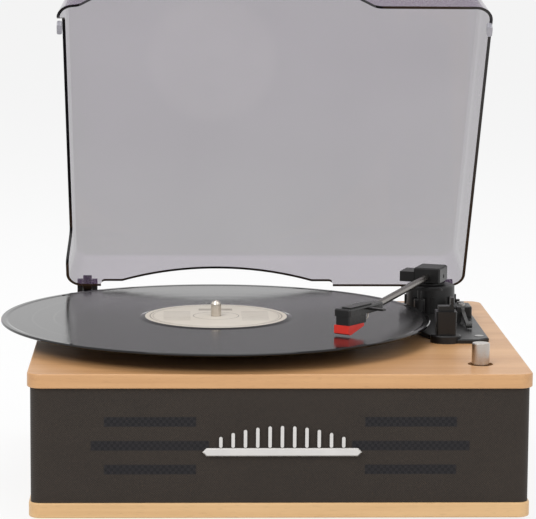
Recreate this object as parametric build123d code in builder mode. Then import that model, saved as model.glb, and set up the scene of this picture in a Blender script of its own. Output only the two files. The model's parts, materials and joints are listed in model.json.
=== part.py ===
"""Record player with a wooden deck, a cloth-wrapped cabinet and an open smoked lid.

All sizes are in millimetres. The model is laid out with X to the right, Y to the back and Z up from
the floor, around the cabinet's centre. At the end every piece is moved so that the origin lies under
the middle of the whole object's bounding box.
"""

from build123d import *

import math
import os

os.makedirs("parts", exist_ok=True)

# Cabinet
TOP_W = 330.0  # wooden top board, side to side
TOP_D = 305.0  # wooden top board, front to back
TOP_T = 9.5
TOP_R = 10.0  # corner radius in plan
EDGE_ROUND = 1.0
BODY_INSET = 2.0  # cloth set in from the top board's edge
BODY_H = 76.0
BODY_R = 7.0
CLOTH_T = 0.6
BOARD_T = 9.0  # front, back and side boards
BASE_T = 10.0
BASE_OVERHANG = 1.2  # bottom board proud of the cloth
FOOT_H = 5.0
FOOT_R = 9.0
FOOT_INSET = 32.0
BLOCK = 14.0  # square corner blocks inside
SCREW_R = 1.6
SCREW_HEAD_R = 3.2
HOLE_CLEAR = 0.3  # round a screw, radial

BODY_W = TOP_W - 2 * BODY_INSET
BODY_D = TOP_D - 2 * BODY_INSET
BASE_TOP = FOOT_H + BASE_T
BODY_TOP = BASE_TOP + BODY_H
DECK = BODY_TOP + TOP_T  # top surface of the deck
BOX_W = BODY_W - 2 * CLOTH_T
BOX_D = BODY_D - 2 * CLOTH_T
BOX_R = BODY_R - CLOTH_T
INNER_W = BOX_W - 2 * BOARD_T
INNER_D = BOX_D - 2 * BOARD_T

FOOT_X = BODY_W - 2 * FOOT_INSET  # between foot centres
FOOT_Y = BODY_D - 2 * FOOT_INSET
FOOT_SINK = 2.4  # screw head's recess in the foot
BLOCK_X = INNER_W - BLOCK  # between corner block centres
BLOCK_Y = INNER_D - BLOCK
HEAD_SINK = 3.0  # screw head's recess in the bottom board
HEAD_T = 2.0
FOOT_HEAD_T = 1.8
THREAD_BITE = 8.0  # screw length inside a corner block

# Speaker slots and the ornament on the front
SLOT_H = 6.6
SLOT_PITCH = 15.8
SLOT_LONG = 77.0
SLOT_SHORT = 60.0
SPEAKER_X = 85.0
SLOT_Z = BASE_TOP + BODY_H / 2
SPEAKER_R = 35.0
CONE_R = 29.0
SPEAKER_DEPTH = 24.0
MAGNET_R = 17.0
BASKET_WINDOW_R = 6.0
MAGNET_T = 9.0
BAR_W = 104.0
BAR_H = 5.4
BAR_T = 2.4
BAR_X = 1.0
BAR_Z = 49.0
FIN_W = 2.2
FIN_T = 2.0
FIN_H = 14.5
FIN_COUNT = 11
FIN_SPAN = 80.0
TRIM_GAP = 0.3  # fins stand this far over the bar

# Sockets in the back
JACK_W = 92.0  # face plate
JACK_H = 30.0
JACK_LIP = 3.0  # face plate past its opening
JACK_X = -70.0
JACK_Z = BASE_TOP + 30.0
JACK_FACE_T = 1.0
JACK_BODY_T = 5.0
RCA_R = 4.15
RCA_BORE = 1.7
RCA_UP = 9.2
RCA_STEP = 0.3  # thinner behind the face plate
RCA_STEP_UP = 0.3
RCA_X = (-30.0, -12.0)
AUX_R = 3.0
AUX_BORE = 1.8
AUX_UP = 0.6
AUX_DEPTH = 12.0
AUX_X = 8.0
DC_R = 4.0
DC_BORE = 2.75
DC_PIN_R = 1.0
DC_DEPTH = 9.0
DC_X = 28.0
SOCKET_BACK = 12.0  # sockets behind the back board's face
BOARD_GAP = 6.0  # circuit board behind the back board
CIRCUIT_T = 1.6

# Platter and record
SPINDLE_X = -40.0
SPINDLE_Y = 0.0
PLATTER_R = 98.0
PLATTER_GAP = 2.0  # under the platter's skirt
PLATTER_H = 8.0
PLATTER_SKIN = 2.0
RING_R = 55.0  # belt ring under the platter
RING_T = 3.0
MAT_T = 1.2
RECORD_R = 151.0
RECORD_T = 1.8
RECORD_LABEL_T = 2.1
RECORD_WEB_T = 1.4
LABEL_R = 50.0
LABEL_T = 0.15
SPINDLE_R = 3.6
SPINDLE_UP = 11.5  # above the record
SPINDLE_STEP = 0.3  # thinner where the record sits
SPINDLE_STEP_UP = 0.3
AXLE_R = 3.0
RUN_FIT = 0.05  # radial clearance of a running fit
HUB_R = 12.0
BUSH_R = 8.0
BUSH_DROP = 16.0
BUSH_FLANGE_R = 14.0
BUSH_FLANGE_T = 2.0
PULLEY_R = 6.0
PULLEY_HOLE_GAP = 3.0
PULLEY_REACH = 74.0  # spindle to motor
PULLEY_ANGLE = 215.0
BELT_T = 0.7
BELT_W = 4.0
BELT_GAP = 0.3
MOTOR_R = 19.0
MOTOR_H = 24.0
MOTOR_SHAFT_R = 1.0

MAT_TOP = DECK + PLATTER_GAP + PLATTER_H + MAT_T
RECORD_TOP = MAT_TOP + RECORD_T

# Tonearm
PIVOT_X = 121.0
PIVOT_Y = 94.0
ARM_Z = DECK + 28.5
ARM_ANGLE = 20.1  # arm turned in from straight ahead
HEAD_OFFSET = 17.0  # head turned in from the tube
TUBE_R = 2.5
TUBE_BORE = 1.9
TUBE_L = 148.0  # pivot to head
BASE_PLATE_T = 3.0
TURRET_R = 18.5
TURRET_H = 19.0
TURRET_SLOPE = 0.6
TURRET_EDGE = 1.0
TURRET_RIBS = 8
RIB_T = 2.4
SWIVEL_R = 5.0
SWIVEL_HOLE_GAP = 2.0
PIVOT_PIN_R = 1.5
ARM_BLOCK_W = 20.0
ARM_BLOCK_L = 24.0
ARM_BLOCK_H = 11.0
ARM_STEP_W = 11.0
ARM_STEP_H = 7.5
ARM_CLEAR = 0.9  # under the arm block
WEIGHT_W = 16.0
WEIGHT_L = 4.6
WEIGHT_H = 7.0
WEIGHT_Y = 8.4
WEIGHT_FIT = 0.05
REST_X = 119.6
REST_Y = -29.0
REST_R = 10.6
REST_FLANGE_H = 5.5
REST_POST = 14.4

# Knob
KNOB_X = 134.0
KNOB_Y = -114.5
KNOB_R = 5.9
KNOB_H = 14.3
KNOB_HOLE_R = 8.4
KNOB_SINK = 1.5  # knob below the deck's surface
KNOB_SKIN = 3.0
POT_R = 8.5
POT_H = 9.0
POT_NECK_R = 4.5
POT_NECK_H = 7.0
POT_SHAFT_IN = 6.0
POT_PLATE_W = 32.0
POT_PLATE_D = 22.0
POT_PLATE_T = 1.0

# Lid
LID_W = 302.0
LID_D = 267.0
LID_H = 34.0
LID_T = 2.2
LID_R = 12.0
LID_LIFT = 5.5  # closed rim above the deck
LID_OPEN = 55.0
DRAFT_SIDE = 5.0
DRAFT_FRONT = 10.0
LID_TOP_ROUND = 3.5
NOTCH_H = 19.0
NOTCH_RUN = 13.0  # sideways run of a notch's sloping end
NOTCH_FLARE = 20.0
NOTCH_R = 8.0
HINGE_Y = 147.0
HINGE_RISE = 12.8  # hinge axis above the deck
HINGE_BACK = 6.0  # hinge axis behind the lid's back face
HINGE_X = 135.5
HINGE_W = 15.0
HINGE_R = 5.0
KNUCKLE_W = 6.4
KNUCKLE_R = 4.6
KNUCKLE_GAP = 0.3
HINGE_PIN_R = 2.0
BUMPER_L = 8.0
BUMPER_W = 4.0

BUMPER_H = 5.2

# Smaller sizes of the drive and the tonearm
BRACKET_T = 1.5
SHAFT_DEPTH = 8.0
MOTOR_BOSS_R = 6.0
BASE_LEFT = 100.0
BASE_RIGHT = 150.0
BASE_FRONT = -37.0
BASE_BACK = 126.0
BASE_NOSE = 8.0  # cut corner at the front
BASE_SCREWS = ((144.0, -22.0), (107.0, 118.0), (109.0, 30.0))
HOUSING_X = 141.0
HOUSING_Y = 66.0
HOUSING_W = 14.0
HOUSING_D = 20.0
HOUSING_H = 8.0
STEM_W = 2.0
STEM_L = 3.0
SLOT_DEPTH = 2.0
SPEED_TRAVEL = 6.0
STOP_TRAVEL = 4.0
ROTOR_GAP = 0.4
SWIVEL_DISC_R = 11.0
SWIVEL_DISC_T = 1.2
LUG_W = 6.0
LUG_R = 3.4
TUBE_START = 9.0
HEAD_W = 13.0
HEAD_L = 44.0
HEAD_H = 5.0
HEAD_NECK_W = 8.0
LIFT_BAR_L = 12.0
LIFT_BAR_W = 4.0
LIFT_BAR_T = 1.4
RIDGE_T = 0.8
HEAD_SKIN = 1.4
CART_W = 11.0
CART_L = 22.0
CART_H = 6.0
STYLUS_GAP = 0.75
GUARD_T = 0.4  # red guard past the cartridge
LEAD_R = 0.4
LEAD_Z = -6.0
LEAD_BOW = 4.0
REST_GAP = 0.5
REST_STOP_T = 2.0
REST_STOP_H = 6.0
REST_POST_H = 22.0
REST_CRADLE_W = 11.0
PLATFORM_REACH = 28.0
PLATFORM_GAP = 3.0  # platform under the tube while the lever is down
PLATFORM_PLAY = 0.25  # left under the tube when the lever is up
PLATFORM_T = 1.6
ROD_ANGLE = 22.0
ROD_R = 1.5
GUIDE_R = 4.0
GUIDE_H = 12.0
CUE_X = 139.0
CUE_Y = 38.0
CUE_RISE = 10.2
CUE_T = 2.4
CUE_L = 30.0
CUE_EAR_T = 3.0
CUE_DROP = 8.5
SWITCH_X = 144.0
SPEED_Y = 98.0
STOP_Y = 116.0
POT_SHAFT_R = 3.0
FRONT_NOTCH_L = -136.0
FRONT_NOTCH_R = 70.0
BACK_NOTCH_X = -37.0
BACK_NOTCH_W = 176.0
BACK_NOTCH_H = 5.5
ARC_HALF = 72.0
ARC_RISE = 14.0
LEFT_NOTCH_FRONT = -113.5
LEFT_NOTCH_BACK = 115.0

rest_top = ARM_Z - TUBE_R - REST_GAP
pulley_x = SPINDLE_X + PULLEY_REACH * math.cos(math.radians(PULLEY_ANGLE))
pulley_y = SPINDLE_Y + PULLEY_REACH * math.sin(math.radians(PULLEY_ANGLE))

pieces = {}


def keep(builder, name):
    """Label a finished piece and keep it for export."""
    builder.part.label = name
    pieces[name] = builder.part


def direction(angle):
    """Unit vector in plan, turned by angle from straight ahead towards the left."""
    a = math.radians(angle)
    return Vector(-math.sin(a), -math.cos(a), 0)


# Wooden boards
with BuildPart() as bottom_panel:
    with BuildSketch(Plane.XY.offset(FOOT_H)):
        RectangleRounded(BODY_W + 2 * BASE_OVERHANG, BODY_D + 2 * BASE_OVERHANG, BODY_R + BASE_OVERHANG)
    extrude(amount=BASE_T)
    fillet(bottom_panel.edges().filter_by(Plane.XY), EDGE_ROUND)
    with Locations(Plane.XY.offset(FOOT_H)):
        with GridLocations(FOOT_X, FOOT_Y, 2, 2):
            Hole(SCREW_R, depth=BASE_T / 2)
    with Locations(Plane.XY.offset(FOOT_H)):
        with GridLocations(BLOCK_X, BLOCK_Y, 2, 2):
            CounterBoreHole(SCREW_R + HOLE_CLEAR, SCREW_HEAD_R + HOLE_CLEAR, HEAD_SINK, depth=BASE_T)
keep(bottom_panel, "bottom_panel")

with BuildPart() as top_panel:
    with BuildSketch(Plane.XY.offset(BODY_TOP)):
        RectangleRounded(TOP_W, TOP_D, TOP_R)
    extrude(amount=TOP_T)
    fillet(top_panel.edges().filter_by(Plane.XY), EDGE_ROUND)
    with BuildSketch(Plane.XY.offset(BODY_TOP)):
        with Locations((SPINDLE_X, SPINDLE_Y)):
            Circle(BUSH_R + HOLE_CLEAR)
        with Locations((KNOB_X, KNOB_Y)):
            Circle(KNOB_HOLE_R)
        with Locations((PIVOT_X, PIVOT_Y)):
            Circle(SWIVEL_R + SWIVEL_HOLE_GAP)
        with Locations((pulley_x, pulley_y)):
            Circle(PULLEY_R + PULLEY_HOLE_GAP)
    extrude(amount=TOP_T, mode=Mode.SUBTRACT)
keep(top_panel, "top_panel")

with BuildPart() as front_baffle:
    with BuildSketch(Plane.XY.offset(BASE_TOP)):
        RectangleRounded(BOX_W, BOX_D, BOX_R)
        with Locations((0, BOARD_T)):
            Rectangle(BOX_W + 2, BOX_D, mode=Mode.SUBTRACT)
    extrude(amount=BODY_H)
    front_plane = Plane(origin=(0, -BOX_D / 2, SLOT_Z), x_dir=(1, 0, 0), z_dir=(0, -1, 0))
    with BuildSketch(front_plane):
        for side in (-1, 1):
            with Locations((side * SPEAKER_X, 0)):
                SlotOverall(SLOT_LONG, SLOT_H)
            with Locations((side * SPEAKER_X, SLOT_PITCH), (side * SPEAKER_X, -SLOT_PITCH)):
                SlotOverall(SLOT_SHORT, SLOT_H)
    extrude(amount=-BOARD_T, mode=Mode.SUBTRACT)
keep(front_baffle, "front_baffle")

with BuildPart() as back_panel:
    with BuildSketch(Plane.XY.offset(BASE_TOP)):
        RectangleRounded(BOX_W, BOX_D, BOX_R)
        with Locations((0, -BOARD_T)):
            Rectangle(BOX_W + 2, BOX_D, mode=Mode.SUBTRACT)
    extrude(amount=BODY_H)
    back_plane = Plane(origin=(JACK_X, BOX_D / 2, JACK_Z), x_dir=(-1, 0, 0), z_dir=(0, 1, 0))
    with BuildSketch(back_plane):
        RectangleRounded(JACK_W - 2 * JACK_LIP, JACK_H - 2 * JACK_LIP, 2)
    extrude(amount=-BOARD_T, mode=Mode.SUBTRACT)
keep(back_panel, "back_panel")

for name, side in (("left_side", -1), ("right_side", 1)):
    with BuildPart() as side_board:
        with BuildSketch(Plane.XY.offset(BASE_TOP)):
            with Locations((side * (BOX_W - BOARD_T) / 2, 0)):
                Rectangle(BOARD_T, INNER_D)
        extrude(amount=BODY_H)
    keep(side_board, name)

with BuildPart() as corner_blocks:
    with BuildSketch(Plane.XY.offset(BASE_TOP)):
        with GridLocations(BLOCK_X, BLOCK_Y, 2, 2):
            Rectangle(BLOCK, BLOCK)
            Circle(SCREW_R, mode=Mode.SUBTRACT)
    extrude(amount=BODY_H)
keep(corner_blocks, "corner_blocks")

with BuildPart() as base_screws:
    with BuildSketch(Plane.XY.offset(FOOT_H + HEAD_SINK - HEAD_T)):
        with GridLocations(BLOCK_X, BLOCK_Y, 2, 2):
            Circle(SCREW_HEAD_R)
    extrude(amount=HEAD_T)
    with BuildSketch(Plane.XY.offset(FOOT_H + HEAD_SINK)):
        with GridLocations(BLOCK_X, BLOCK_Y, 2, 2):
            Circle(SCREW_R)
    extrude(amount=BASE_T - HEAD_SINK + THREAD_BITE)
    with BuildSketch(Plane.XY.offset(FOOT_SINK - FOOT_HEAD_T)):
        with GridLocations(FOOT_X, FOOT_Y, 2, 2):
            Circle(SCREW_HEAD_R)
    extrude(amount=FOOT_HEAD_T)
    with BuildSketch(Plane.XY.offset(FOOT_SINK)):
        with GridLocations(FOOT_X, FOOT_Y, 2, 2):
            Circle(SCREW_R)
    extrude(amount=FOOT_H - FOOT_SINK + BASE_T / 2 - HOLE_CLEAR)
keep(base_screws, "base_screws")

with BuildPart() as cloth_wrap:
    with BuildSketch(Plane.XY.offset(BASE_TOP)):
        RectangleRounded(BODY_W, BODY_D, BODY_R)
        RectangleRounded(BOX_W, BOX_D, BOX_R, mode=Mode.SUBTRACT)
    extrude(amount=BODY_H)
    with BuildSketch(back_plane.offset(CLOTH_T)):
        RectangleRounded(JACK_W + 2 * HOLE_CLEAR, JACK_H + 2 * HOLE_CLEAR, 2)
    extrude(amount=-CLOTH_T, mode=Mode.SUBTRACT)
keep(cloth_wrap, "cloth_wrap")

with BuildPart() as feet:
    with BuildSketch(Plane.XY):
        with GridLocations(FOOT_X, FOOT_Y, 2, 2):
            Circle(FOOT_R)
    extrude(amount=FOOT_H, taper=4)
    with Locations(Plane.XY):
        with GridLocations(FOOT_X, FOOT_Y, 2, 2):
            CounterBoreHole(SCREW_R + HOLE_CLEAR, SCREW_HEAD_R + HOLE_CLEAR, FOOT_SINK, depth=FOOT_H)
keep(feet, "feet")

# Ornament on the front
cloth_front = Plane(origin=(BAR_X, -BODY_D / 2, BAR_Z), x_dir=(1, 0, 0), z_dir=(0, -1, 0))
with BuildPart() as trim_bar:
    with BuildSketch(cloth_front):
        with BuildLine():
            half = BAR_W / 2
            Polyline(
                (-half, 0), (-half + BAR_H / 2, BAR_H / 2), (half - BAR_H / 2, BAR_H / 2),
                (half, 0), (half - BAR_H / 2, -BAR_H / 2), (-half + BAR_H / 2, -BAR_H / 2), close=True,
            )
        make_face()
    extrude(amount=BAR_T)
    chamfer(trim_bar.faces().sort_by(Axis.Y)[0].edges(), 0.7)
keep(trim_bar, "trim_bar")

with BuildPart() as trim_fins:
    step = FIN_SPAN / (FIN_COUNT - 1)
    for i in range(FIN_COUNT):
        along = i - (FIN_COUNT - 1) / 2
        height = FIN_H * (1 - 0.5 * (2 * along / (FIN_COUNT - 1)) ** 2)
        with BuildSketch(cloth_front):
            with Locations((along * step, BAR_H / 2 + TRIM_GAP + height / 2)):
                SlotOverall(height, FIN_W, rotation=90)
        extrude(amount=FIN_T)
keep(trim_fins, "trim_fins")

# Speakers behind the baffle
baffle_back = -BOX_D / 2 + BOARD_T
speaker_planes = [
    Plane(origin=(side * SPEAKER_X, baffle_back, SLOT_Z), x_dir=(-1, 0, 0), z_dir=(0, 1, 0)) for side in (-1, 1)
]
with BuildPart() as speaker_frames:
    for plane in speaker_planes:
        with BuildSketch(plane):
            Circle(SPEAKER_R)
            Circle(CONE_R + 0.5, mode=Mode.SUBTRACT)
        extrude(amount=3)
        with BuildSketch(plane.offset(3)):
            Circle(CONE_R + 2.5)
            Circle(CONE_R + 0.5, mode=Mode.SUBTRACT)
        with BuildSketch(plane.offset(SPEAKER_DEPTH - 3)):
            Circle(MAGNET_R - 1)
            Circle(MAGNET_R - 3, mode=Mode.SUBTRACT)
        loft()
        with BuildSketch(plane.offset(SPEAKER_DEPTH - 3)):
            Circle(MAGNET_R - 1)
            Circle(5.0, mode=Mode.SUBTRACT)
        extrude(amount=3)
        with BuildSketch(plane.offset(SPEAKER_DEPTH - 3)):
            with PolarLocations(MAGNET_R + 6, 4):
                Circle(BASKET_WINDOW_R)
        extrude(amount=-(SPEAKER_DEPTH - 8), mode=Mode.SUBTRACT)
keep(speaker_frames, "speaker_frames")

with BuildPart() as speaker_cones:
    for plane in speaker_planes:
        with BuildSketch(Plane(origin=plane.origin, x_dir=(1, 0, 0), z_dir=(0, 0, 1))):
            with BuildLine():
                Polyline(
                    (0, SPEAKER_DEPTH - 6), (8, SPEAKER_DEPTH - 6), (CONE_R, 1.2), (CONE_R, 0.2),
                    (CONE_R - 2, 0.2), (7, SPEAKER_DEPTH - 8), (0, SPEAKER_DEPTH - 8), close=True,
                )
            make_face()
        revolve(axis=Axis(plane.origin, (0, 1, 0)))
keep(speaker_cones, "speaker_cones")

with BuildPart() as speaker_magnets:
    for plane in speaker_planes:
        with BuildSketch(plane.offset(SPEAKER_DEPTH)):
            Circle(MAGNET_R)
        extrude(amount=MAGNET_T)
    chamfer(speaker_magnets.edges().filter_by(GeomType.CIRCLE), 0.8)
keep(speaker_magnets, "speaker_magnets")

# Platter, mat, record and spindle
spindle_at = Location((SPINDLE_X, SPINDLE_Y, 0))
platter_low = DECK + PLATTER_GAP
platter_top = platter_low + PLATTER_H
with BuildPart() as platter:
    with BuildSketch(Plane.XZ.offset(-SPINDLE_Y)):
        with BuildLine():
            x0 = SPINDLE_X
            Polyline(
                (x0 + AXLE_R + RUN_FIT, platter_top), (x0 + PLATTER_R - 1, platter_top),
                (x0 + PLATTER_R, platter_top - 1), (x0 + PLATTER_R, platter_low),
                (x0 + PLATTER_R - PLATTER_SKIN, platter_low),
                (x0 + PLATTER_R - PLATTER_SKIN, platter_top - PLATTER_SKIN),
                (x0 + RING_R, platter_top - PLATTER_SKIN), (x0 + RING_R, platter_low),
                (x0 + RING_R - RING_T, platter_low), (x0 + RING_R - RING_T, platter_top - PLATTER_SKIN),
                (x0 + HUB_R, platter_top - PLATTER_SKIN), (x0 + HUB_R, platter_low + 1.5),
                (x0 + AXLE_R + RUN_FIT, platter_low + 1.5), close=True,
            )
        make_face()
    revolve(axis=Axis((SPINDLE_X, SPINDLE_Y, 0), (0, 0, 1)))
keep(platter, "platter")

with BuildPart() as platter_mat:
    with BuildSketch(Plane.XY.offset(platter_top)):
        with Locations((SPINDLE_X, SPINDLE_Y)):
            Circle(PLATTER_R - 1.5)
            Circle(SPINDLE_R + 1.0, mode=Mode.SUBTRACT)
    extrude(amount=MAT_T)
keep(platter_mat, "platter_mat")

with BuildPart() as record:
    with BuildSketch(Plane.XZ.offset(-SPINDLE_Y)):
        with BuildLine():
            low = MAT_TOP
            hole = x0 + SPINDLE_R + RUN_FIT
            Polyline(
                (hole, low), (x0 + RECORD_R - 0.6, low), (x0 + RECORD_R, low + 0.5),
                (x0 + RECORD_R, low + RECORD_T - 0.5), (x0 + RECORD_R - 0.6, low + RECORD_T),
                (x0 + RECORD_R - 3, low + RECORD_T), (x0 + RECORD_R - 5, low + RECORD_WEB_T),
                (x0 + LABEL_R + 4, low + RECORD_WEB_T), (x0 + LABEL_R + 1, low + RECORD_LABEL_T),
                (hole, low + RECORD_LABEL_T), close=True,
            )
        make_face()
    revolve(axis=Axis((SPINDLE_X, SPINDLE_Y, 0), (0, 0, 1)))
keep(record, "record")

with BuildPart() as record_label:
    with BuildSketch(Plane.XY.offset(MAT_TOP + RECORD_LABEL_T)):
        with Locations((SPINDLE_X, SPINDLE_Y)):
            Circle(LABEL_R)
            Circle(SPINDLE_R + RUN_FIT, mode=Mode.SUBTRACT)
    extrude(amount=LABEL_T)
keep(record_label, "record_label")

axle_low = DECK - BUSH_DROP + 3.0
with BuildPart() as spindle:
    with BuildSketch(Plane.XZ.offset(-SPINDLE_Y)):
        with BuildLine():
            tip = RECORD_TOP + SPINDLE_UP
            free_low = MAT_TOP + RECORD_LABEL_T + LABEL_T + SPINDLE_STEP_UP
            free_top = tip - 2.5
            Polyline(
                (x0, axle_low), (x0 + AXLE_R, axle_low), (x0 + AXLE_R, platter_top),
                (x0 + SPINDLE_R + 0.9, platter_top), (x0 + SPINDLE_R + 0.9, platter_top + MAT_T),
                (x0 + SPINDLE_R - SPINDLE_STEP, platter_top + MAT_T), (x0 + SPINDLE_R - SPINDLE_STEP, free_low),
                (x0 + SPINDLE_R, free_low), (x0 + SPINDLE_R, free_top),
                (x0 + SPINDLE_R - 1.0, tip - 0.7), (x0 + SPINDLE_R - 2.4, tip), (x0, tip), close=True,
            )
        make_face()
    revolve(axis=Axis((SPINDLE_X, SPINDLE_Y, 0), (0, 0, 1)))
keep(spindle, "spindle")

with BuildPart() as bearing_housing:
    with BuildSketch(Plane.XY.offset(DECK)):
        with Locations((SPINDLE_X, SPINDLE_Y)):
            Circle(BUSH_FLANGE_R)
    extrude(amount=BUSH_FLANGE_T)
    with BuildSketch(Plane.XY.offset(DECK)):
        with Locations((SPINDLE_X, SPINDLE_Y)):
            Circle(BUSH_R)
    extrude(amount=-BUSH_DROP)
    with BuildSketch(Plane.XY.offset(DECK + BUSH_FLANGE_T)):
        with Locations((SPINDLE_X, SPINDLE_Y)):
            Circle(AXLE_R + RUN_FIT)
    extrude(amount=-(BUSH_DROP + BUSH_FLANGE_T - 2.8), mode=Mode.SUBTRACT)
keep(bearing_housing, "bearing_housing")

# Belt drive
belt_low = platter_low + 1.2
with BuildPart() as drive_belt:
    with BuildSketch(Plane.XY.offset(belt_low)):
        with Locations((SPINDLE_X, SPINDLE_Y)):
            Circle(RING_R + BELT_GAP + BELT_T)
        with Locations((pulley_x, pulley_y)):
            Circle(PULLEY_R + BELT_GAP + BELT_T)
        make_hull()
    extrude(amount=BELT_W)
    with BuildSketch(Plane.XY.offset(belt_low)):
        with Locations((SPINDLE_X, SPINDLE_Y)):
            Circle(RING_R + BELT_GAP)
        with Locations((pulley_x, pulley_y)):
            Circle(PULLEY_R + BELT_GAP)
        make_hull()
    extrude(amount=BELT_W, mode=Mode.SUBTRACT)
keep(drive_belt, "drive_belt")

with BuildPart() as motor_pulley:
    with BuildSketch(Plane.XY.offset(belt_low - 1.0)):
        with Locations((pulley_x, pulley_y)):
            Circle(PULLEY_R)
            Circle(MOTOR_SHAFT_R, mode=Mode.SUBTRACT)
    extrude(amount=BELT_W + 1.2)
keep(motor_pulley, "motor_pulley")

motor_top = BODY_TOP - BRACKET_T
with BuildPart() as motor_shaft:
    with BuildSketch(Plane.XY.offset(motor_top - SHAFT_DEPTH)):
        with Locations((pulley_x, pulley_y)):
            Circle(MOTOR_SHAFT_R)
    extrude(amount=belt_low + BELT_W - motor_top + SHAFT_DEPTH)
keep(motor_shaft, "motor_shaft")

with BuildPart() as motor_bracket:
    with BuildSketch(Plane.XY.offset(motor_top)):
        with Locations((pulley_x, pulley_y)):
            RectangleRounded(2 * MOTOR_R + 22, 2 * MOTOR_R - 8, 5)
            Circle(MOTOR_BOSS_R + HOLE_CLEAR, mode=Mode.SUBTRACT)
    extrude(amount=BRACKET_T)
keep(motor_bracket, "motor_bracket")

with BuildPart() as motor:
    with BuildSketch(Plane.XY.offset(motor_top)):
        with Locations((pulley_x, pulley_y)):
            Circle(MOTOR_R)
    extrude(amount=-MOTOR_H)
    chamfer(motor.edges().sort_by(Axis.Z)[0], 1.5)
    with BuildSketch(Plane.XY.offset(motor_top)):
        with Locations((pulley_x, pulley_y)):
            Circle(MOTOR_BOSS_R)
    extrude(amount=BRACKET_T)
    with BuildSketch(Plane.XY.offset(BODY_TOP)):
        with Locations((pulley_x, pulley_y)):
            Circle(MOTOR_SHAFT_R + RUN_FIT)
    extrude(amount=-(BRACKET_T + SHAFT_DEPTH + 1.0), mode=Mode.SUBTRACT)
keep(motor, "motor")

# Tonearm base, turret and arm rest
with BuildPart() as tonearm_base:
    with BuildSketch(Plane.XY.offset(DECK)):
        with BuildLine():
            Polyline(
                (BASE_LEFT, BASE_BACK), (BASE_RIGHT, BASE_BACK), (BASE_RIGHT, BASE_FRONT + BASE_NOSE),
                (BASE_RIGHT - BASE_NOSE, BASE_FRONT), (REST_X, BASE_FRONT), (REST_X - REST_R, REST_Y + REST_R),
                (BASE_LEFT + 3, REST_Y + 3 * REST_R), (BASE_LEFT, PIVOT_Y - TURRET_R), close=True,
            )
        make_face()
        with Locations((PIVOT_X, PIVOT_Y)):
            Circle(SWIVEL_R + SWIVEL_HOLE_GAP, mode=Mode.SUBTRACT)
        with Locations((REST_X, REST_Y)):
            Circle(REST_R + HOLE_CLEAR, mode=Mode.SUBTRACT)
    extrude(amount=BASE_PLATE_T)
    chamfer(tonearm_base.edges().group_by(Axis.Z)[-1].filter_by(GeomType.LINE), 0.8)
    with BuildSketch(Plane.XY.offset(DECK + BASE_PLATE_T)):
        for y, travel in ((SPEED_Y, SPEED_TRAVEL), (STOP_Y, STOP_TRAVEL)):
            with Locations((SWITCH_X, y + travel / 2)):
                Rectangle(STEM_W + 2 * HOLE_CLEAR, STEM_L + travel + 2 * HOLE_CLEAR)
    extrude(amount=-SLOT_DEPTH, mode=Mode.SUBTRACT)
    with Locations(Plane.XY.offset(DECK + BASE_PLATE_T)):
        with Locations(*BASE_SCREWS):
            CounterBoreHole(SCREW_R + HOLE_CLEAR, SCREW_HEAD_R + HOLE_CLEAR, 1.2, depth=BASE_PLATE_T)
keep(tonearm_base, "tonearm_base")

base_top = DECK + BASE_PLATE_T
turret_top = base_top + TURRET_H
with BuildPart() as tonearm_screws:
    with BuildSketch(Plane.XY.offset(base_top - 1.2)):
        with Locations(*BASE_SCREWS):
            Circle(SCREW_HEAD_R)
    extrude(amount=1.4)
    with BuildSketch(Plane.XY.offset(DECK)):
        with Locations(*BASE_SCREWS):
            Circle(SCREW_R)
    extrude(amount=base_top - 1.2 - DECK)
    for y in (HOUSING_Y - HOUSING_D / 4, HOUSING_Y + HOUSING_D / 4):
        with BuildSketch(Plane.XY.offset(base_top + HOUSING_H)):
            with Locations((HOUSING_X, y)):
                Circle(SCREW_HEAD_R - 0.6)
        extrude(amount=1.4)
        with BuildSketch(Plane.XY.offset(base_top + HOUSING_H)):
            with Locations((HOUSING_X, y)):
                Circle(SCREW_R)
        extrude(amount=-(HOUSING_H - 1.5))
keep(tonearm_screws, "tonearm_screws")

with BuildPart() as pivot_turret:
    with BuildSketch(Plane(origin=(PIVOT_X, PIVOT_Y, base_top), x_dir=(1, 0, 0), z_dir=(0, -1, 0))):
        with BuildLine():
            Polyline(
                (0, 0), (TURRET_R, 0), (TURRET_R - TURRET_SLOPE, TURRET_H - TURRET_EDGE),
                (TURRET_R - TURRET_SLOPE - TURRET_EDGE, TURRET_H), (0, TURRET_H), close=True,
            )
        make_face()
    revolve(axis=Axis((PIVOT_X, PIVOT_Y, 0), (0, 0, 1)))
    with BuildSketch(Plane.XY.offset(base_top)):
        with Locations((PIVOT_X, PIVOT_Y)):
            with PolarLocations(TURRET_R - 0.5, TURRET_RIBS):
                Rectangle(RIB_T, RIB_T)
    extrude(amount=TURRET_H * 0.6)
    with BuildSketch(Plane.XY.offset(turret_top)):
        with Locations((PIVOT_X, PIVOT_Y)):
            Circle(SWIVEL_R + RUN_FIT)
    extrude(amount=-TURRET_H, mode=Mode.SUBTRACT)
keep(pivot_turret, "pivot_turret")

with BuildPart() as switch_housing:
    with BuildSketch(Plane.XY.offset(base_top)):
        with Locations((HOUSING_X, HOUSING_Y)):
            RectangleRounded(HOUSING_W, HOUSING_D, 2)
    extrude(amount=HOUSING_H)
    chamfer(switch_housing.edges().group_by(Axis.Z)[-1], 0.8)
    with Locations(Plane.XY.offset(base_top + HOUSING_H)):
        with Locations((HOUSING_X, HOUSING_Y - HOUSING_D / 4), (HOUSING_X, HOUSING_Y + HOUSING_D / 4)):
            Hole(SCREW_R, depth=HOUSING_H - 1)
keep(switch_housing, "switch_housing")

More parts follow.
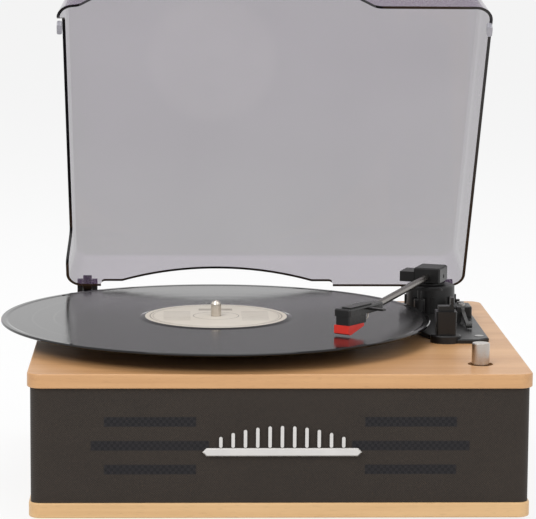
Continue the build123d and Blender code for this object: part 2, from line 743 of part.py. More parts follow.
with BuildPart() as arm_rest:
    with BuildSketch(Plane.XY.offset(DECK)):
        with Locations((REST_X, REST_Y)):
            Circle(REST_R)
    extrude(amount=REST_FLANGE_H)
    chamfer(arm_rest.edges().sort_by(Axis.Z)[-1], 0.8)
    with BuildSketch(Plane.XY.offset(DECK + REST_FLANGE_H)):
        with Locations((REST_X, REST_Y)):
            RectangleRounded(REST_POST - 1.0, REST_POST - 1.0, 1.5)
    with BuildSketch(Plane.XY.offset(DECK + REST_POST_H)):
        with Locations((REST_X, REST_Y)):
            RectangleRounded(REST_POST, REST_POST, 1.5)
    loft()
    with BuildSketch(Plane.XY.offset(DECK + REST_POST_H)):
        with Locations((REST_X, REST_Y)):
            Rectangle(REST_CRADLE_W, 8)
    extrude(amount=rest_top - DECK - REST_POST_H)
    with BuildSketch(Plane.XY.offset(rest_top)):
        with Locations((REST_X + TUBE_R + REST_GAP + REST_STOP_T / 2, REST_Y)):
            Rectangle(REST_STOP_T, 8)
    extrude(amount=REST_STOP_H)
keep(arm_rest, "arm_rest")

# Tonearm on its swivel
arm_y = -direction(ARM_ANGLE)
arm_x = Vector(arm_y.Y, -arm_y.X, 0)
arm_plane = Plane(origin=(PIVOT_X, PIVOT_Y, ARM_Z), x_dir=arm_x, z_dir=(0, 0, 1))
arm_side = Plane(origin=arm_plane.origin, x_dir=arm_y, z_dir=arm_x)
disc_low = turret_top + ROTOR_GAP
with BuildPart() as arm_swivel:
    with BuildSketch(Plane.XY.offset(base_top + 1.0)):
        with Locations((PIVOT_X, PIVOT_Y)):
            Circle(SWIVEL_R)
    extrude(amount=disc_low - base_top - 1.0)
    with BuildSketch(Plane.XY.offset(disc_low)):
        with Locations((PIVOT_X, PIVOT_Y)):
            Circle(SWIVEL_DISC_R)
    extrude(amount=SWIVEL_DISC_T)
    lug_low = disc_low + SWIVEL_DISC_T - ARM_Z
    with BuildSketch(arm_side.offset(-LUG_W / 2)):
        with Locations((0, lug_low / 2)):
            Rectangle(2 * LUG_R, -lug_low)
        Circle(LUG_R)
        Circle(PIVOT_PIN_R + RUN_FIT, mode=Mode.SUBTRACT)
    extrude(amount=LUG_W)
keep(arm_swivel, "arm_swivel")

block_low = disc_low + SWIVEL_DISC_T + ARM_CLEAR - ARM_Z
with BuildPart() as arm_block:
    with BuildSketch(arm_plane.offset(block_low)) as block_plan:
        Rectangle(ARM_BLOCK_W, ARM_BLOCK_L)
        chamfer(block_plan.vertices(), 1.2)
    extrude(amount=ARM_BLOCK_H)
    chamfer(arm_block.faces().sort_by(Axis.Z)[-1].edges(), 1.0)
    with BuildSketch(arm_plane.offset(block_low)):
        with Locations((-ARM_BLOCK_W / 2 - ARM_STEP_W / 2 + 1.0, 0)):
            Rectangle(ARM_STEP_W + 2.0, ARM_BLOCK_L - 4.0)
    extrude(amount=ARM_STEP_H)
    with BuildSketch(arm_plane.offset(block_low)):
        Rectangle(LUG_W + 2 * ROTOR_GAP, 2 * LUG_R + 2.4)
    extrude(amount=LUG_R - block_low + 1.0, mode=Mode.SUBTRACT)
    with BuildSketch(arm_side.offset(-ARM_BLOCK_W)):
        Circle(PIVOT_PIN_R)
    extrude(amount=2 * ARM_BLOCK_W, mode=Mode.SUBTRACT)
    with BuildSketch(arm_plane.offset(block_low)):
        with Locations((0, WEIGHT_Y)):
            Rectangle(WEIGHT_W + 2 * WEIGHT_FIT, WEIGHT_L + 2 * WEIGHT_FIT)
    extrude(amount=WEIGHT_H, mode=Mode.SUBTRACT)
    tube_front = Plane(origin=arm_plane.origin, x_dir=arm_x, z_dir=-arm_y)
    with BuildSketch(tube_front.offset(TUBE_START)):
        Circle(TUBE_R)
    extrude(amount=ARM_BLOCK_L, mode=Mode.SUBTRACT)
keep(arm_block, "arm_block")

with BuildPart() as counterweight:
    with BuildSketch(arm_plane.offset(block_low + WEIGHT_FIT)):
        with Locations((0, WEIGHT_Y)):
            Rectangle(WEIGHT_W, WEIGHT_L)
    extrude(amount=WEIGHT_H - WEIGHT_FIT)
keep(counterweight, "counterweight")

with BuildPart() as arm_pivot_pin:
    with BuildSketch(arm_side.offset(-ARM_BLOCK_W / 2 + 1.0)):
        Circle(PIVOT_PIN_R)
    extrude(amount=ARM_BLOCK_W - 2.0)
keep(arm_pivot_pin, "arm_pivot_pin")

with BuildPart() as tonearm_tube:
    with BuildSketch(tube_front.offset(TUBE_START)):
        Circle(TUBE_R)
        Circle(TUBE_BORE, mode=Mode.SUBTRACT)
    extrude(amount=TUBE_L - TUBE_START)
keep(tonearm_tube, "tonearm_tube")

# Head, cartridge and stylus
head_y = -direction(ARM_ANGLE + HEAD_OFFSET)
head_x = Vector(head_y.Y, -head_y.X, 0)
head_origin = Vector(PIVOT_X, PIVOT_Y, ARM_Z) - arm_y * TUBE_L
head_plane = Plane(origin=head_origin, x_dir=head_x, z_dir=(0, 0, 1))
with BuildPart() as headshell:
    with BuildSketch(head_plane.offset(-HEAD_H / 2)) as head_plan:
        with BuildLine():
            Polyline(
                (-HEAD_W / 2, -HEAD_L), (HEAD_W / 2, -HEAD_L), (HEAD_W / 2, -HEAD_L * 0.4),
                (HEAD_NECK_W / 2, 2), (-HEAD_NECK_W / 2, 2), (-HEAD_W / 2, -HEAD_L * 0.4), close=True,
            )
        make_face()
        fillet(head_plan.vertices(), 1.5)
    extrude(amount=HEAD_H)
    chamfer(headshell.faces().sort_by(Axis.Z)[-1].edges(), 0.8)
    with BuildSketch(head_plane.offset(HEAD_H / 2)):
        with Locations((0, -HEAD_L * 0.58)):
            RectangleRounded(HEAD_W - 5, HEAD_L * 0.62, 1.5)
    extrude(amount=RIDGE_T)
    with BuildSketch(head_plane.offset(-HEAD_H / 2)):
        with Locations((0, -HEAD_L * 0.55)):
            Rectangle(HEAD_W - 2 * HEAD_SKIN, HEAD_L * 0.6)
    extrude(amount=HEAD_H - HEAD_SKIN, mode=Mode.SUBTRACT)
    with BuildSketch(tube_front):
        Circle(TUBE_R)
    extrude(amount=TUBE_L, mode=Mode.SUBTRACT)
keep(headshell, "headshell")

with BuildPart() as finger_lift:
    with BuildSketch(head_plane.offset(HEAD_H / 2 - 2.4)):
        with Locations((HEAD_W / 2 + LIFT_BAR_L / 2, -HEAD_L * 0.4 - LIFT_BAR_W / 2)):
            Rectangle(LIFT_BAR_L, LIFT_BAR_W)
    extrude(amount=LIFT_BAR_T)
keep(finger_lift, "finger_lift")

cart_top = -HEAD_H / 2
with BuildPart() as cartridge:
    with BuildSketch(head_plane.offset(cart_top)):
        with Locations((0, -HEAD_L + CART_L / 2 + 0.5)):
            Rectangle(CART_W, CART_L)
    extrude(amount=-CART_H)
    chamfer(cartridge.edges().filter_by(Axis.Z), 0.8)
keep(cartridge, "cartridge")

stylus_low = RECORD_TOP + STYLUS_GAP - ARM_Z
head_side = Plane(origin=head_origin, x_dir=head_y, z_dir=head_x)
with BuildPart() as stylus:
    with BuildSketch(head_side.offset(-CART_W / 2 - GUARD_T)):
        with BuildLine():
            back = -HEAD_L + CART_L * 0.85
            front = -HEAD_L - GUARD_T
            top = cart_top - CART_H
            Polyline(
                (back, top), (front, top), (front, stylus_low + 0.8), (front + 1.2, stylus_low),
                (front + 3.5, stylus_low), (back, top - 2.0), close=True,
            )
        make_face()
    extrude(amount=CART_W + 2 * GUARD_T)
keep(stylus, "stylus")

with BuildPart() as cartridge_leads:
    for x in (-3.6, -1.2, 1.2, 3.6):
        start = -HEAD_L + CART_L + 0.5
        with BuildLine(head_side.offset(x)):
            ThreePointArc((start, LEAD_Z), (start + LEAD_BOW, LEAD_Z + 0.4), (start + 1.2, cart_top + 1.0))
        with BuildSketch(Plane(origin=head_side.offset(x).from_local_coords((start, LEAD_Z, 0)), z_dir=head_y)):
            Circle(LEAD_R)
        sweep()
keep(cartridge_leads, "cartridge_leads")

# Cue lever, lift platform and switches
platform_top = ARM_Z - TUBE_R - PLATFORM_GAP
rod_x = PIVOT_X + PLATFORM_REACH * direction(ROD_ANGLE).X
rod_y = PIVOT_Y + PLATFORM_REACH * direction(ROD_ANGLE).Y
with BuildPart() as lift_platform:
    with BuildSketch(Plane.XY.offset(platform_top)):
        SlotArc(CenterArc((PIVOT_X, PIVOT_Y), PLATFORM_REACH, 220, 58), 4.0)
    extrude(amount=-PLATFORM_T)
    with BuildSketch(Plane.XY.offset(platform_top - PLATFORM_T)):
        with Locations((rod_x, rod_y)):
            Circle(ROD_R)
    extrude(amount=-(platform_top - PLATFORM_T - base_top - 2.0))
keep(lift_platform, "lift_platform")

with BuildPart() as lift_guide:
    with BuildSketch(Plane.XY.offset(base_top)):
        with Locations((rod_x, rod_y)):
            Circle(GUIDE_R)
            Circle(ROD_R + RUN_FIT, mode=Mode.SUBTRACT)
    extrude(amount=GUIDE_H)
    chamfer(lift_guide.edges().group_by(Axis.Z)[-1], 0.5)
keep(lift_guide, "lift_guide")

cue_z = DECK + CUE_RISE
with BuildPart() as cue_post:
    with BuildSketch(Plane.XY.offset(base_top)):
        with Locations((CUE_X - CUE_EAR_T - CUE_T / 2 - ROTOR_GAP + CUE_EAR_T / 2, CUE_Y)):
            Rectangle(CUE_EAR_T, 8)
    extrude(amount=CUE_RISE - BASE_PLATE_T + 4)
    with BuildSketch(Plane(origin=(0, CUE_Y, cue_z), x_dir=(0, 1, 0), z_dir=(1, 0, 0))):
        Circle(PIVOT_PIN_R + RUN_FIT)
    extrude(amount=CUE_X, mode=Mode.SUBTRACT)
keep(cue_post, "cue_post")

drop = math.radians(CUE_DROP)
cue_plane = Plane(
    origin=(CUE_X, CUE_Y, cue_z), x_dir=(0, -math.cos(drop), -math.sin(drop)), z_dir=(-1, 0, 0)
)
with BuildPart() as cue_lever:
    with BuildSketch(cue_plane.offset(-CUE_T / 2)):
        Circle(3.2)
        with Locations((CUE_L / 2, 0)):
            SlotOverall(CUE_L + 3, 3.0)
    extrude(amount=CUE_T)
    with BuildSketch(cue_plane.offset(-CUE_T / 2 - 2)):
        with Locations((CUE_L, 0)):
            SlotOverall(7, 3.6)
    extrude(amount=CUE_T + 2)
    with BuildSketch(cue_plane.offset(CUE_T / 2)):
        Circle(PIVOT_PIN_R)
    extrude(amount=ROTOR_GAP + CUE_EAR_T)
keep(cue_lever, "cue_lever")

for name, y in (("speed_selector", SPEED_Y), ("auto_stop_switch", STOP_Y)):
    with BuildPart() as slider:
        with BuildSketch(Plane.XY.offset(base_top + HOLE_CLEAR)):
            with Locations((SWITCH_X, y)):
                RectangleRounded(5, 9, 1.5)
        extrude(amount=1.4)
        with BuildSketch(Plane.XY.offset(base_top + HOLE_CLEAR + 1.4)):
            with Locations((SWITCH_X, y)):
                RectangleRounded(3, 4, 1)
        extrude(amount=2.4)
        with BuildSketch(Plane.XY.offset(base_top + HOLE_CLEAR)):
            with Locations((SWITCH_X, y)):
                Rectangle(STEM_W, STEM_L)
        extrude(amount=-SLOT_DEPTH)
    keep(slider, name)

# Volume control
with BuildPart() as volume_knob:
    with BuildSketch(Plane.XY.offset(DECK - KNOB_SINK)):
        with Locations((KNOB_X, KNOB_Y)):
            Circle(KNOB_R)
    extrude(amount=KNOB_H + KNOB_SINK)
    chamfer(volume_knob.edges().sort_by(Axis.Z)[-1], 0.5)
    with BuildSketch(Plane.XY.offset(DECK - KNOB_SINK)):
        with Locations((KNOB_X, KNOB_Y)):
            Circle(POT_SHAFT_R)
    extrude(amount=KNOB_H + KNOB_SINK - KNOB_SKIN, mode=Mode.SUBTRACT)
keep(volume_knob, "volume_knob")

pot_top = BODY_TOP - POT_PLATE_T
with BuildPart() as pot_shaft:
    with BuildSketch(Plane.XY.offset(pot_top - POT_SHAFT_IN)):
        with Locations((KNOB_X, KNOB_Y)):
            Circle(POT_SHAFT_R)
    extrude(amount=DECK + KNOB_H - KNOB_SKIN - pot_top + POT_SHAFT_IN)
keep(pot_shaft, "pot_shaft")

with BuildPart() as volume_pot:
    with BuildSketch(Plane.XY.offset(pot_top)):
        with Locations((KNOB_X, KNOB_Y)):
            Circle(POT_R)
    extrude(amount=-POT_H)
    with BuildSketch(Plane.XY.offset(pot_top)):
        with Locations((KNOB_X, KNOB_Y)):
            Circle(POT_NECK_R)
    extrude(amount=POT_NECK_H)
    with BuildSketch(Plane.XY.offset(pot_top)):
        with Locations((KNOB_X, KNOB_Y)):
            RectangleRounded(POT_PLATE_W, POT_PLATE_D, 2)
    extrude(amount=POT_PLATE_T)
    with BuildSketch(Plane.XY.offset(pot_top + POT_NECK_H)):
        with Locations((KNOB_X, KNOB_Y)):
            Circle(POT_SHAFT_R + RUN_FIT)
    extrude(amount=-(POT_NECK_H + POT_SHAFT_IN + 1), mode=Mode.SUBTRACT)
keep(volume_pot, "volume_pot")

# Sockets on the back
with BuildPart() as jack_plate:
    with BuildSketch(back_plane):
        RectangleRounded(JACK_W, JACK_H, 2)
    extrude(amount=JACK_FACE_T)
    with BuildSketch(back_plane):
        opening_gap = 2 * (JACK_LIP + HOLE_CLEAR)
        RectangleRounded(JACK_W - opening_gap, JACK_H - opening_gap, 2)
    extrude(amount=-JACK_BODY_T)
    with BuildSketch(back_plane.offset(JACK_FACE_T)):
        for x, radius in ((RCA_X[0], RCA_R), (RCA_X[1], RCA_R), (AUX_X, AUX_R), (DC_X, DC_R)):
            with Locations((x, 0)):
                Circle(radius + HOLE_CLEAR)
    extrude(amount=-(JACK_FACE_T + JACK_BODY_T), mode=Mode.SUBTRACT)
keep(jack_plate, "jack_plate")

socket_back = back_plane.offset(-SOCKET_BACK)
with BuildPart() as rca_jacks:
    with BuildSketch(socket_back):
        for x in RCA_X:
            with Locations((x, 0)):
                Circle(RCA_R - RCA_STEP)
                Circle(RCA_BORE, mode=Mode.SUBTRACT)
    extrude(amount=SOCKET_BACK + JACK_FACE_T + RCA_STEP_UP)
    with BuildSketch(back_plane.offset(JACK_FACE_T + RCA_STEP_UP)):
        for x in RCA_X:
            with Locations((x, 0)):
                Circle(RCA_R)
                Circle(RCA_BORE, mode=Mode.SUBTRACT)
    extrude(amount=RCA_UP)
keep(rca_jacks, "rca_jacks")

aux_mouth = back_plane.offset(JACK_FACE_T + AUX_UP)
with BuildPart() as aux_jack:
    with BuildSketch(socket_back):
        with Locations((AUX_X, 0)):
            Circle(AUX_R)
    extrude(amount=SOCKET_BACK + JACK_FACE_T + AUX_UP)
    with BuildSketch(aux_mouth):
        with Locations((AUX_X, 0)):
            Circle(AUX_BORE)
    extrude(amount=-AUX_DEPTH, mode=Mode.SUBTRACT)
keep(aux_jack, "aux_jack")

with BuildPart() as dc_inlet:
    with BuildSketch(socket_back):
        with Locations((DC_X, 0)):
            Circle(DC_R)
    extrude(amount=SOCKET_BACK + JACK_FACE_T)
    with BuildSketch(back_plane.offset(JACK_FACE_T)):
        with Locations((DC_X, 0)):
            Circle(DC_BORE)
            Circle(DC_PIN_R, mode=Mode.SUBTRACT)
    extrude(amount=-DC_DEPTH, mode=Mode.SUBTRACT)
keep(dc_inlet, "dc_inlet")

with BuildPart() as circuit_board:
    with BuildSketch(back_plane.offset(-BOARD_T - BOARD_GAP)):
        Rectangle(JACK_W + 20, JACK_H + 18)
    extrude(amount=-CIRCUIT_T)
    with BuildSketch(back_plane.offset(-BOARD_T)):
        with GridLocations(JACK_W + 10, JACK_H + 8, 2, 2):
            Circle(2.5)
    extrude(amount=-BOARD_GAP)
keep(circuit_board, "circuit_board")

# Lid, open on its hinges
a = math.radians(LID_OPEN)
lid_plane = Plane(
    origin=(0, HINGE_Y, DECK + HINGE_RISE), x_dir=(1, 0, 0), z_dir=(0, math.sin(a), math.cos(a))
)
lid_side = Plane(origin=lid_plane.origin, x_dir=lid_plane.y_dir, z_dir=lid_plane.x_dir)
lid_back = Plane(origin=lid_plane.origin, x_dir=lid_plane.x_dir, z_dir=-lid_plane.y_dir)
rim = LID_LIFT - HINGE_RISE
back_y = -HINGE_BACK
front_y = back_y - LID_D
mid_y = (front_y + back_y) / 2


def lid_section(inset, height):
    """Rounded outline of the lid at a height over its rim, inset by a wall thickness."""
    share = height / LID_H
    width = LID_W - 2 * DRAFT_SIDE * share - 2 * inset
    depth = LID_D - DRAFT_FRONT * share - 2 * inset
    shift = DRAFT_FRONT * share / 2
    with Locations((0, mid_y + shift)):
        RectangleRounded(width, depth, LID_R - inset)


def rim_notch(left, right, height):
    """Cut-out in a wall from the rim up, with S-shaped ends."""
    with BuildSketch() as notch:
        with BuildLine():
            Polyline(
                (left - NOTCH_FLARE, rim - 1), (left - NOTCH_FLARE, rim), (left, rim),
                (left + NOTCH_RUN, rim + height), (right - NOTCH_RUN, rim + height), (right, rim),
                (right + NOTCH_FLARE, rim), (right + NOTCH_FLARE, rim - 1), close=True,
            )
        make_face()
        inner = notch.vertices().filter_by_position(Axis.X, left - 1, right + 1)
        fillet(inner, NOTCH_R)
    return notch.sketch


with BuildPart() as lid:
    with BuildSketch(lid_plane.offset(rim)):
        lid_section(0, 0)
    with BuildSketch(lid_plane.offset(rim + LID_H)):
        lid_section(0, LID_H)
    loft()
    fillet(lid.faces().sort_by(Axis(lid_plane.origin, lid_plane.z_dir))[-1].edges(), LID_TOP_ROUND)
    with BuildSketch(lid_plane.offset(rim)):
        lid_section(LID_T, 0)
    with BuildSketch(lid_plane.offset(rim + LID_H - LID_T)):
        lid_section(LID_T, LID_H - LID_T)
    loft(mode=Mode.SUBTRACT)
    with BuildSketch(lid_back.offset(-mid_y)):
        add(rim_notch(FRONT_NOTCH_L, FRONT_NOTCH_R, NOTCH_H))
    extrude(amount=LID_D, mode=Mode.SUBTRACT)
    with BuildSketch(lid_back.offset(-mid_y)):
        with Locations((BACK_NOTCH_X, rim)):
            RectangleRounded(BACK_NOTCH_W, 2 * BACK_NOTCH_H, BACK_NOTCH_H * 0.6)
        with BuildLine():
            arc_left = (BACK_NOTCH_X - ARC_HALF, rim + BACK_NOTCH_H)
            arc_right = (BACK_NOTCH_X + ARC_HALF, rim + BACK_NOTCH_H)
            Line(arc_left, arc_right)
            ThreePointArc(arc_left, (BACK_NOTCH_X, rim + BACK_NOTCH_H + ARC_RISE), arc_right)
        make_face()
    extrude(amount=-LID_D, mode=Mode.SUBTRACT)
    with BuildSketch(lid_side):
        add(rim_notch(LEFT_NOTCH_FRONT - HINGE_Y, LEFT_NOTCH_BACK - HINGE_Y, NOTCH_H))
    extrude(amount=-LID_W, mode=Mode.SUBTRACT)
keep(lid, "lid")

with BuildPart() as hinge_blocks:
    for side in (-1, 1):
        with BuildSketch(Plane.YZ.offset(side * HINGE_X - HINGE_W / 2)):
            with Locations((HINGE_Y, DECK + HINGE_RISE / 2)):
                Rectangle(2 * HINGE_R, HINGE_RISE)
            with Locations((HINGE_Y, DECK + HINGE_RISE)):
                Circle(HINGE_R)
        extrude(amount=HINGE_W)
        with BuildSketch(Plane.YZ.offset(side * HINGE_X - KNUCKLE_W / 2 - KNUCKLE_GAP)):
            with Locations((HINGE_Y, DECK + HINGE_RISE + 10 - KNUCKLE_R - 0.6)):
                Rectangle(4 * HINGE_R, 20)
        extrude(amount=KNUCKLE_W + 2 * KNUCKLE_GAP, mode=Mode.SUBTRACT)
    with BuildSketch(Plane.YZ.offset(-HINGE_X - HINGE_W)):
        with Locations((HINGE_Y, DECK + HINGE_RISE)):
            Circle(HINGE_PIN_R)
    extrude(amount=2 * (HINGE_X + HINGE_W), mode=Mode.SUBTRACT)
keep(hinge_blocks, "hinge_blocks")

with BuildPart() as hinge_pins:
    for side in (-1, 1):
        with BuildSketch(Plane.YZ.offset(side * HINGE_X - HINGE_W / 2)):
            with Locations((HINGE_Y, DECK + HINGE_RISE)):
                Circle(HINGE_PIN_R)
        extrude(amount=HINGE_W)
keep(hinge_pins, "hinge_pins")

with BuildPart() as lid_knuckles:
    for side in (-1, 1):
        with BuildSketch(lid_side.offset(side * HINGE_X - KNUCKLE_W / 2)):
            Circle(KNUCKLE_R)
            with Locations((back_y / 2, 0)):
                Rectangle(HINGE_BACK, 2 * KNUCKLE_R)
            Circle(HINGE_PIN_R + RUN_FIT, mode=Mode.SUBTRACT)
        extrude(amount=KNUCKLE_W)
keep(lid_knuckles, "lid_knuckles")

with BuildPart() as lid_bumpers:
    for side in (-1, 1):
        with BuildSketch(lid_plane.offset(rim)):
            with Locations((side * (LID_W / 2 - LID_T / 2 - 0.9), front_y + LID_R + 2 + BUMPER_L / 2)):
                RectangleRounded(BUMPER_W - 0.4, BUMPER_L, 1.2)
        extrude(amount=-BUMPER_H)
keep(lid_bumpers, "lid_bumpers")

# Origin under the middle of the bounding box
boxes = [piece.bounding_box() for piece in pieces.values()]
middle_x = (min(b.min.X for b in boxes) + max(b.max.X for b in boxes)) / 2
middle_y = (min(b.min.Y for b in boxes) + max(b.max.Y for b in boxes)) / 2
for name, piece in pieces.items():
    piece.move(Location((-middle_x, -middle_y, 0)))
    export_step(piece, f"parts/{name}.step")
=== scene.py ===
"""Record player with a wooden deck, a cloth-wrapped cabinet and an open smoked lid, dressed for display.

Lengths are in metres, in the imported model's own frame: X to the right, Y to the back, Z up from the floor.
"""

import json
import logging
import math
from dataclasses import dataclass
from enum import Enum
from typing import Any, Mapping, Sequence, Union

import bmesh
import bpy
from mathutils import Matrix, Vector

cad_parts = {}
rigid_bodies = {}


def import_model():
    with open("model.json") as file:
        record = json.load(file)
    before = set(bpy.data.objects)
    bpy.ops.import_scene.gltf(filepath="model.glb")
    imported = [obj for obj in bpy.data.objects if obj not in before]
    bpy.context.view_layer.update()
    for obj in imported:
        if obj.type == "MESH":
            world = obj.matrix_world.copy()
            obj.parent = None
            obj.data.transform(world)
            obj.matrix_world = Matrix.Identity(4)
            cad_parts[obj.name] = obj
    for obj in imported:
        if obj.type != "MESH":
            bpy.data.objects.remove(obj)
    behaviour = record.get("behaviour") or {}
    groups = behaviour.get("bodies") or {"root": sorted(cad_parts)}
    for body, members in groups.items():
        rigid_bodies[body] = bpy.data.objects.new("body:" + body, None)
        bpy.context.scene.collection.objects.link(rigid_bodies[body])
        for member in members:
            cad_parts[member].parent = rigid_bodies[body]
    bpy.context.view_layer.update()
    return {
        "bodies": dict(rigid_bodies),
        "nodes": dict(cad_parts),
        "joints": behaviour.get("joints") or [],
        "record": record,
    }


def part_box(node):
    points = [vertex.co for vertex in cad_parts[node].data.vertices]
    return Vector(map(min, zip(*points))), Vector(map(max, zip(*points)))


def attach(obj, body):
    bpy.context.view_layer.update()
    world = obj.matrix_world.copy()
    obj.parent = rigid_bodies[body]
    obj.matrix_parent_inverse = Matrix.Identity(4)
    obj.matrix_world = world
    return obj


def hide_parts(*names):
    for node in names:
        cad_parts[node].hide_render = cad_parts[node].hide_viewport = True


logging.basicConfig(level=logging.INFO, format="%(message)s")
LOG = logging.getLogger("record_player")

Triple = tuple[float, float, float]


def tint(red: int, green: int, blue: int) -> Triple:
    """Gives the linear colour of three display values.

    Args:
        red: Display red, 0 to 255.
        green: Display green, 0 to 255.
        blue: Display blue, 0 to 255.

    Returns:
        The linear colour.
    """
    def linear(part: int) -> float:
        """One channel in linear light."""
        share = part / 255
        return share / 12.92 if share <= 0.04045 else ((share + 0.055) / 1.055) ** 2.4
    return linear(red), linear(green), linear(blue)


# Shader maths


class Value:
    """A number that varies over a surface, used in Python expressions."""

    def __init__(self, graph: "Graph", socket: bpy.types.NodeSocket) -> None:
        """Wraps a socket.

        Args:
            graph: Graph that the socket belongs to.
            socket: Output socket that carries the number.
        """
        self.graph = graph
        self.socket = socket

    def apply(self, operation: str, first: "Number", second: "Number" = 0.0) -> "Value":
        """Adds a Math node.

        Args:
            operation: The Math node's operation.
            first: First operand.
            second: Second operand.

        Returns:
            The node's result.
        """
        made = self.graph.node("ShaderNodeMath", {"operation": operation}, {0: first, 1: second})
        return Value(self.graph, made.outputs[0])

    def __add__(self, other: "Number") -> "Value":
        """Sum."""
        return self.apply("ADD", self, other)

    __radd__ = __add__

    def __sub__(self, other: "Number") -> "Value":
        """Difference."""
        return self.apply("SUBTRACT", self, other)

    def __rsub__(self, other: "Number") -> "Value":
        """Difference from a plain number."""
        return self.apply("SUBTRACT", other, self)

    def __mul__(self, other: "Number") -> "Value":
        """Product."""
        return self.apply("MULTIPLY", self, other)

    __rmul__ = __mul__

    def __truediv__(self, other: "Number") -> "Value":
        """Quotient."""
        return self.apply("DIVIDE", self, other)

    def __pow__(self, other: "Number") -> "Value":
        """Power."""
        return self.apply("POWER", self, other)

    def __gt__(self, other: "Number") -> "Value":
        """One where it is greater, else nought."""
        return self.apply("GREATER_THAN", self, other)

    def __lt__(self, other: "Number") -> "Value":
        """One where it is less, else nought."""
        return self.apply("LESS_THAN", self, other)

    def __abs__(self) -> "Value":
        """Size without its sign."""
        return self.apply("ABSOLUTE", self)

    def sine(self) -> "Value":
        """Sine of an angle in radians."""
        return self.apply("SINE", self)

    def repeat(self, pitch: float) -> "Value":
        """Sawtooth that starts again at each pitch."""
        return self.apply("FLOORED_MODULO", self, pitch)

    def most(self, other: "Number") -> "Value":
        """The larger of two."""
        return self.apply("MAXIMUM", self, other)

    def least(self, other: "Number") -> "Value":
        """The smaller of two."""
        return self.apply("MINIMUM", self, other)

    def held(self) -> "Value":
        """Kept between nought and one."""
        return self.most(0.0).least(1.0)

    def steeper(self, gain: float) -> "Value":
        """Contrast raised about one half, kept between nought and one."""
        return ((self - 0.5) * gain + 0.5).held()


Number = Union[Value, float]


class Graph:
    """The nodes of one finish."""

    def __init__(self, name: str) -> None:
        """Starts an empty material.

        Args:
            name: The material's name.
        """
        self.material = bpy.data.materials.new(name)
        self.material.use_nodes = True
        self.tree = self.material.node_tree
        self.tree.nodes.clear()
        self.place = self.node("ShaderNodeTexCoord", {}, {}).outputs["Object"]
        parts = self.node("ShaderNodeSeparateXYZ", {}, {0: self.place}).outputs
        self.x, self.y, self.z = (Value(self, part) for part in parts)

    def node(self, kind: str, settings: Mapping[str, Any], inputs: Mapping[Any, Any]) -> bpy.types.Node:
        """Adds one node.

        Args:
            kind: The node's type.
            settings: The node's own options, set first.
            inputs: Values or links of its sockets, by name or number.

        Returns:
            The node.
        """
        made = self.tree.nodes.new(kind)
        for key, setting in settings.items():
            setattr(made, key, setting)
        for key, given in inputs.items():
            socket = made.inputs[key]
            source = given.socket if isinstance(given, Value) else given
            if isinstance(source, bpy.types.NodeSocket):
                self.tree.links.new(source, socket)
            elif socket.type == "RGBA":
                socket.default_value = (*source, 1.0)
            else:
                socket.default_value = source
        return made

    def join(self, x: Number, y: Number, z: Number) -> bpy.types.NodeSocket:
        """Makes a vector of three numbers."""
        return self.node("ShaderNodeCombineXYZ", {}, {0: x, 1: y, 2: z}).outputs[0]

    def noise(self, scale: Triple, detail: float = 2.0, warp: float = 0.0,
              place: bpy.types.NodeSocket | None = None) -> Value:
        """Adds soft noise.

        Args:
            scale: Features per metre along each axis.
            detail: Octaves.
            warp: Distortion.
            place: Coordinates, or None for the object's own.

        Returns:
            The noise, around one half.
        """
        wide = self.node("ShaderNodeVectorMath", {"operation": "MULTIPLY"}, {
            0: place or self.place, 1: scale})
        made = self.node("ShaderNodeTexNoise", {}, {
            "Vector": wide.outputs[0], "Scale": 1.0, "Detail": detail, "Roughness": 0.55, "Distortion": warp})
        return Value(self, made.outputs[0])

    def blend(self, share: Number, low: Any, high: Any) -> bpy.types.NodeSocket:
        """Mixes two colours.

        Args:
            share: How much of the second colour.
            low: First colour.
            high: Second colour.

        Returns:
            The mixed colour.
        """
        made = self.node("ShaderNodeMix", {"data_type": "RGBA"}, {0: share, 6: low, 7: high})
        return made.outputs[2]

    def relief(self, height: Value, depth: float, strength: float = 1.0) -> bpy.types.NodeSocket:
        """Adds a bump.

        Args:
            height: Height, nought to one.
            depth: Depth of the relief in metres.
            strength: Share of the effect.

        Returns:
            The bent normal.
        """
        made = self.node("ShaderNodeBump", {}, {"Strength": strength, "Distance": depth, "Height": height})
        return made.outputs[0]

    def radius(self, centre: Sequence[float]) -> Value:
        """Distance from an upright axis.

        Args:
            centre: A point on the axis.

        Returns:
            The distance in metres.
        """
        aside = self.x - centre[0]
        along = self.y - centre[1]
        return (aside * aside + along * along) ** 0.5

    def done(self, **inputs: Any) -> bpy.types.Material:
        """Adds the surface shader and its output.

        Args:
            inputs: Sockets of the shader, with underscores for spaces.

        Returns:
            The finished material.
        """
        named = {key.replace("_", " "): given for key, given in inputs.items()}
        shader = self.node("ShaderNodeBsdfPrincipled", {}, named)
        self.node("ShaderNodeOutputMaterial", {}, {0: shader.outputs[0]})
        return self.material


# Finishes


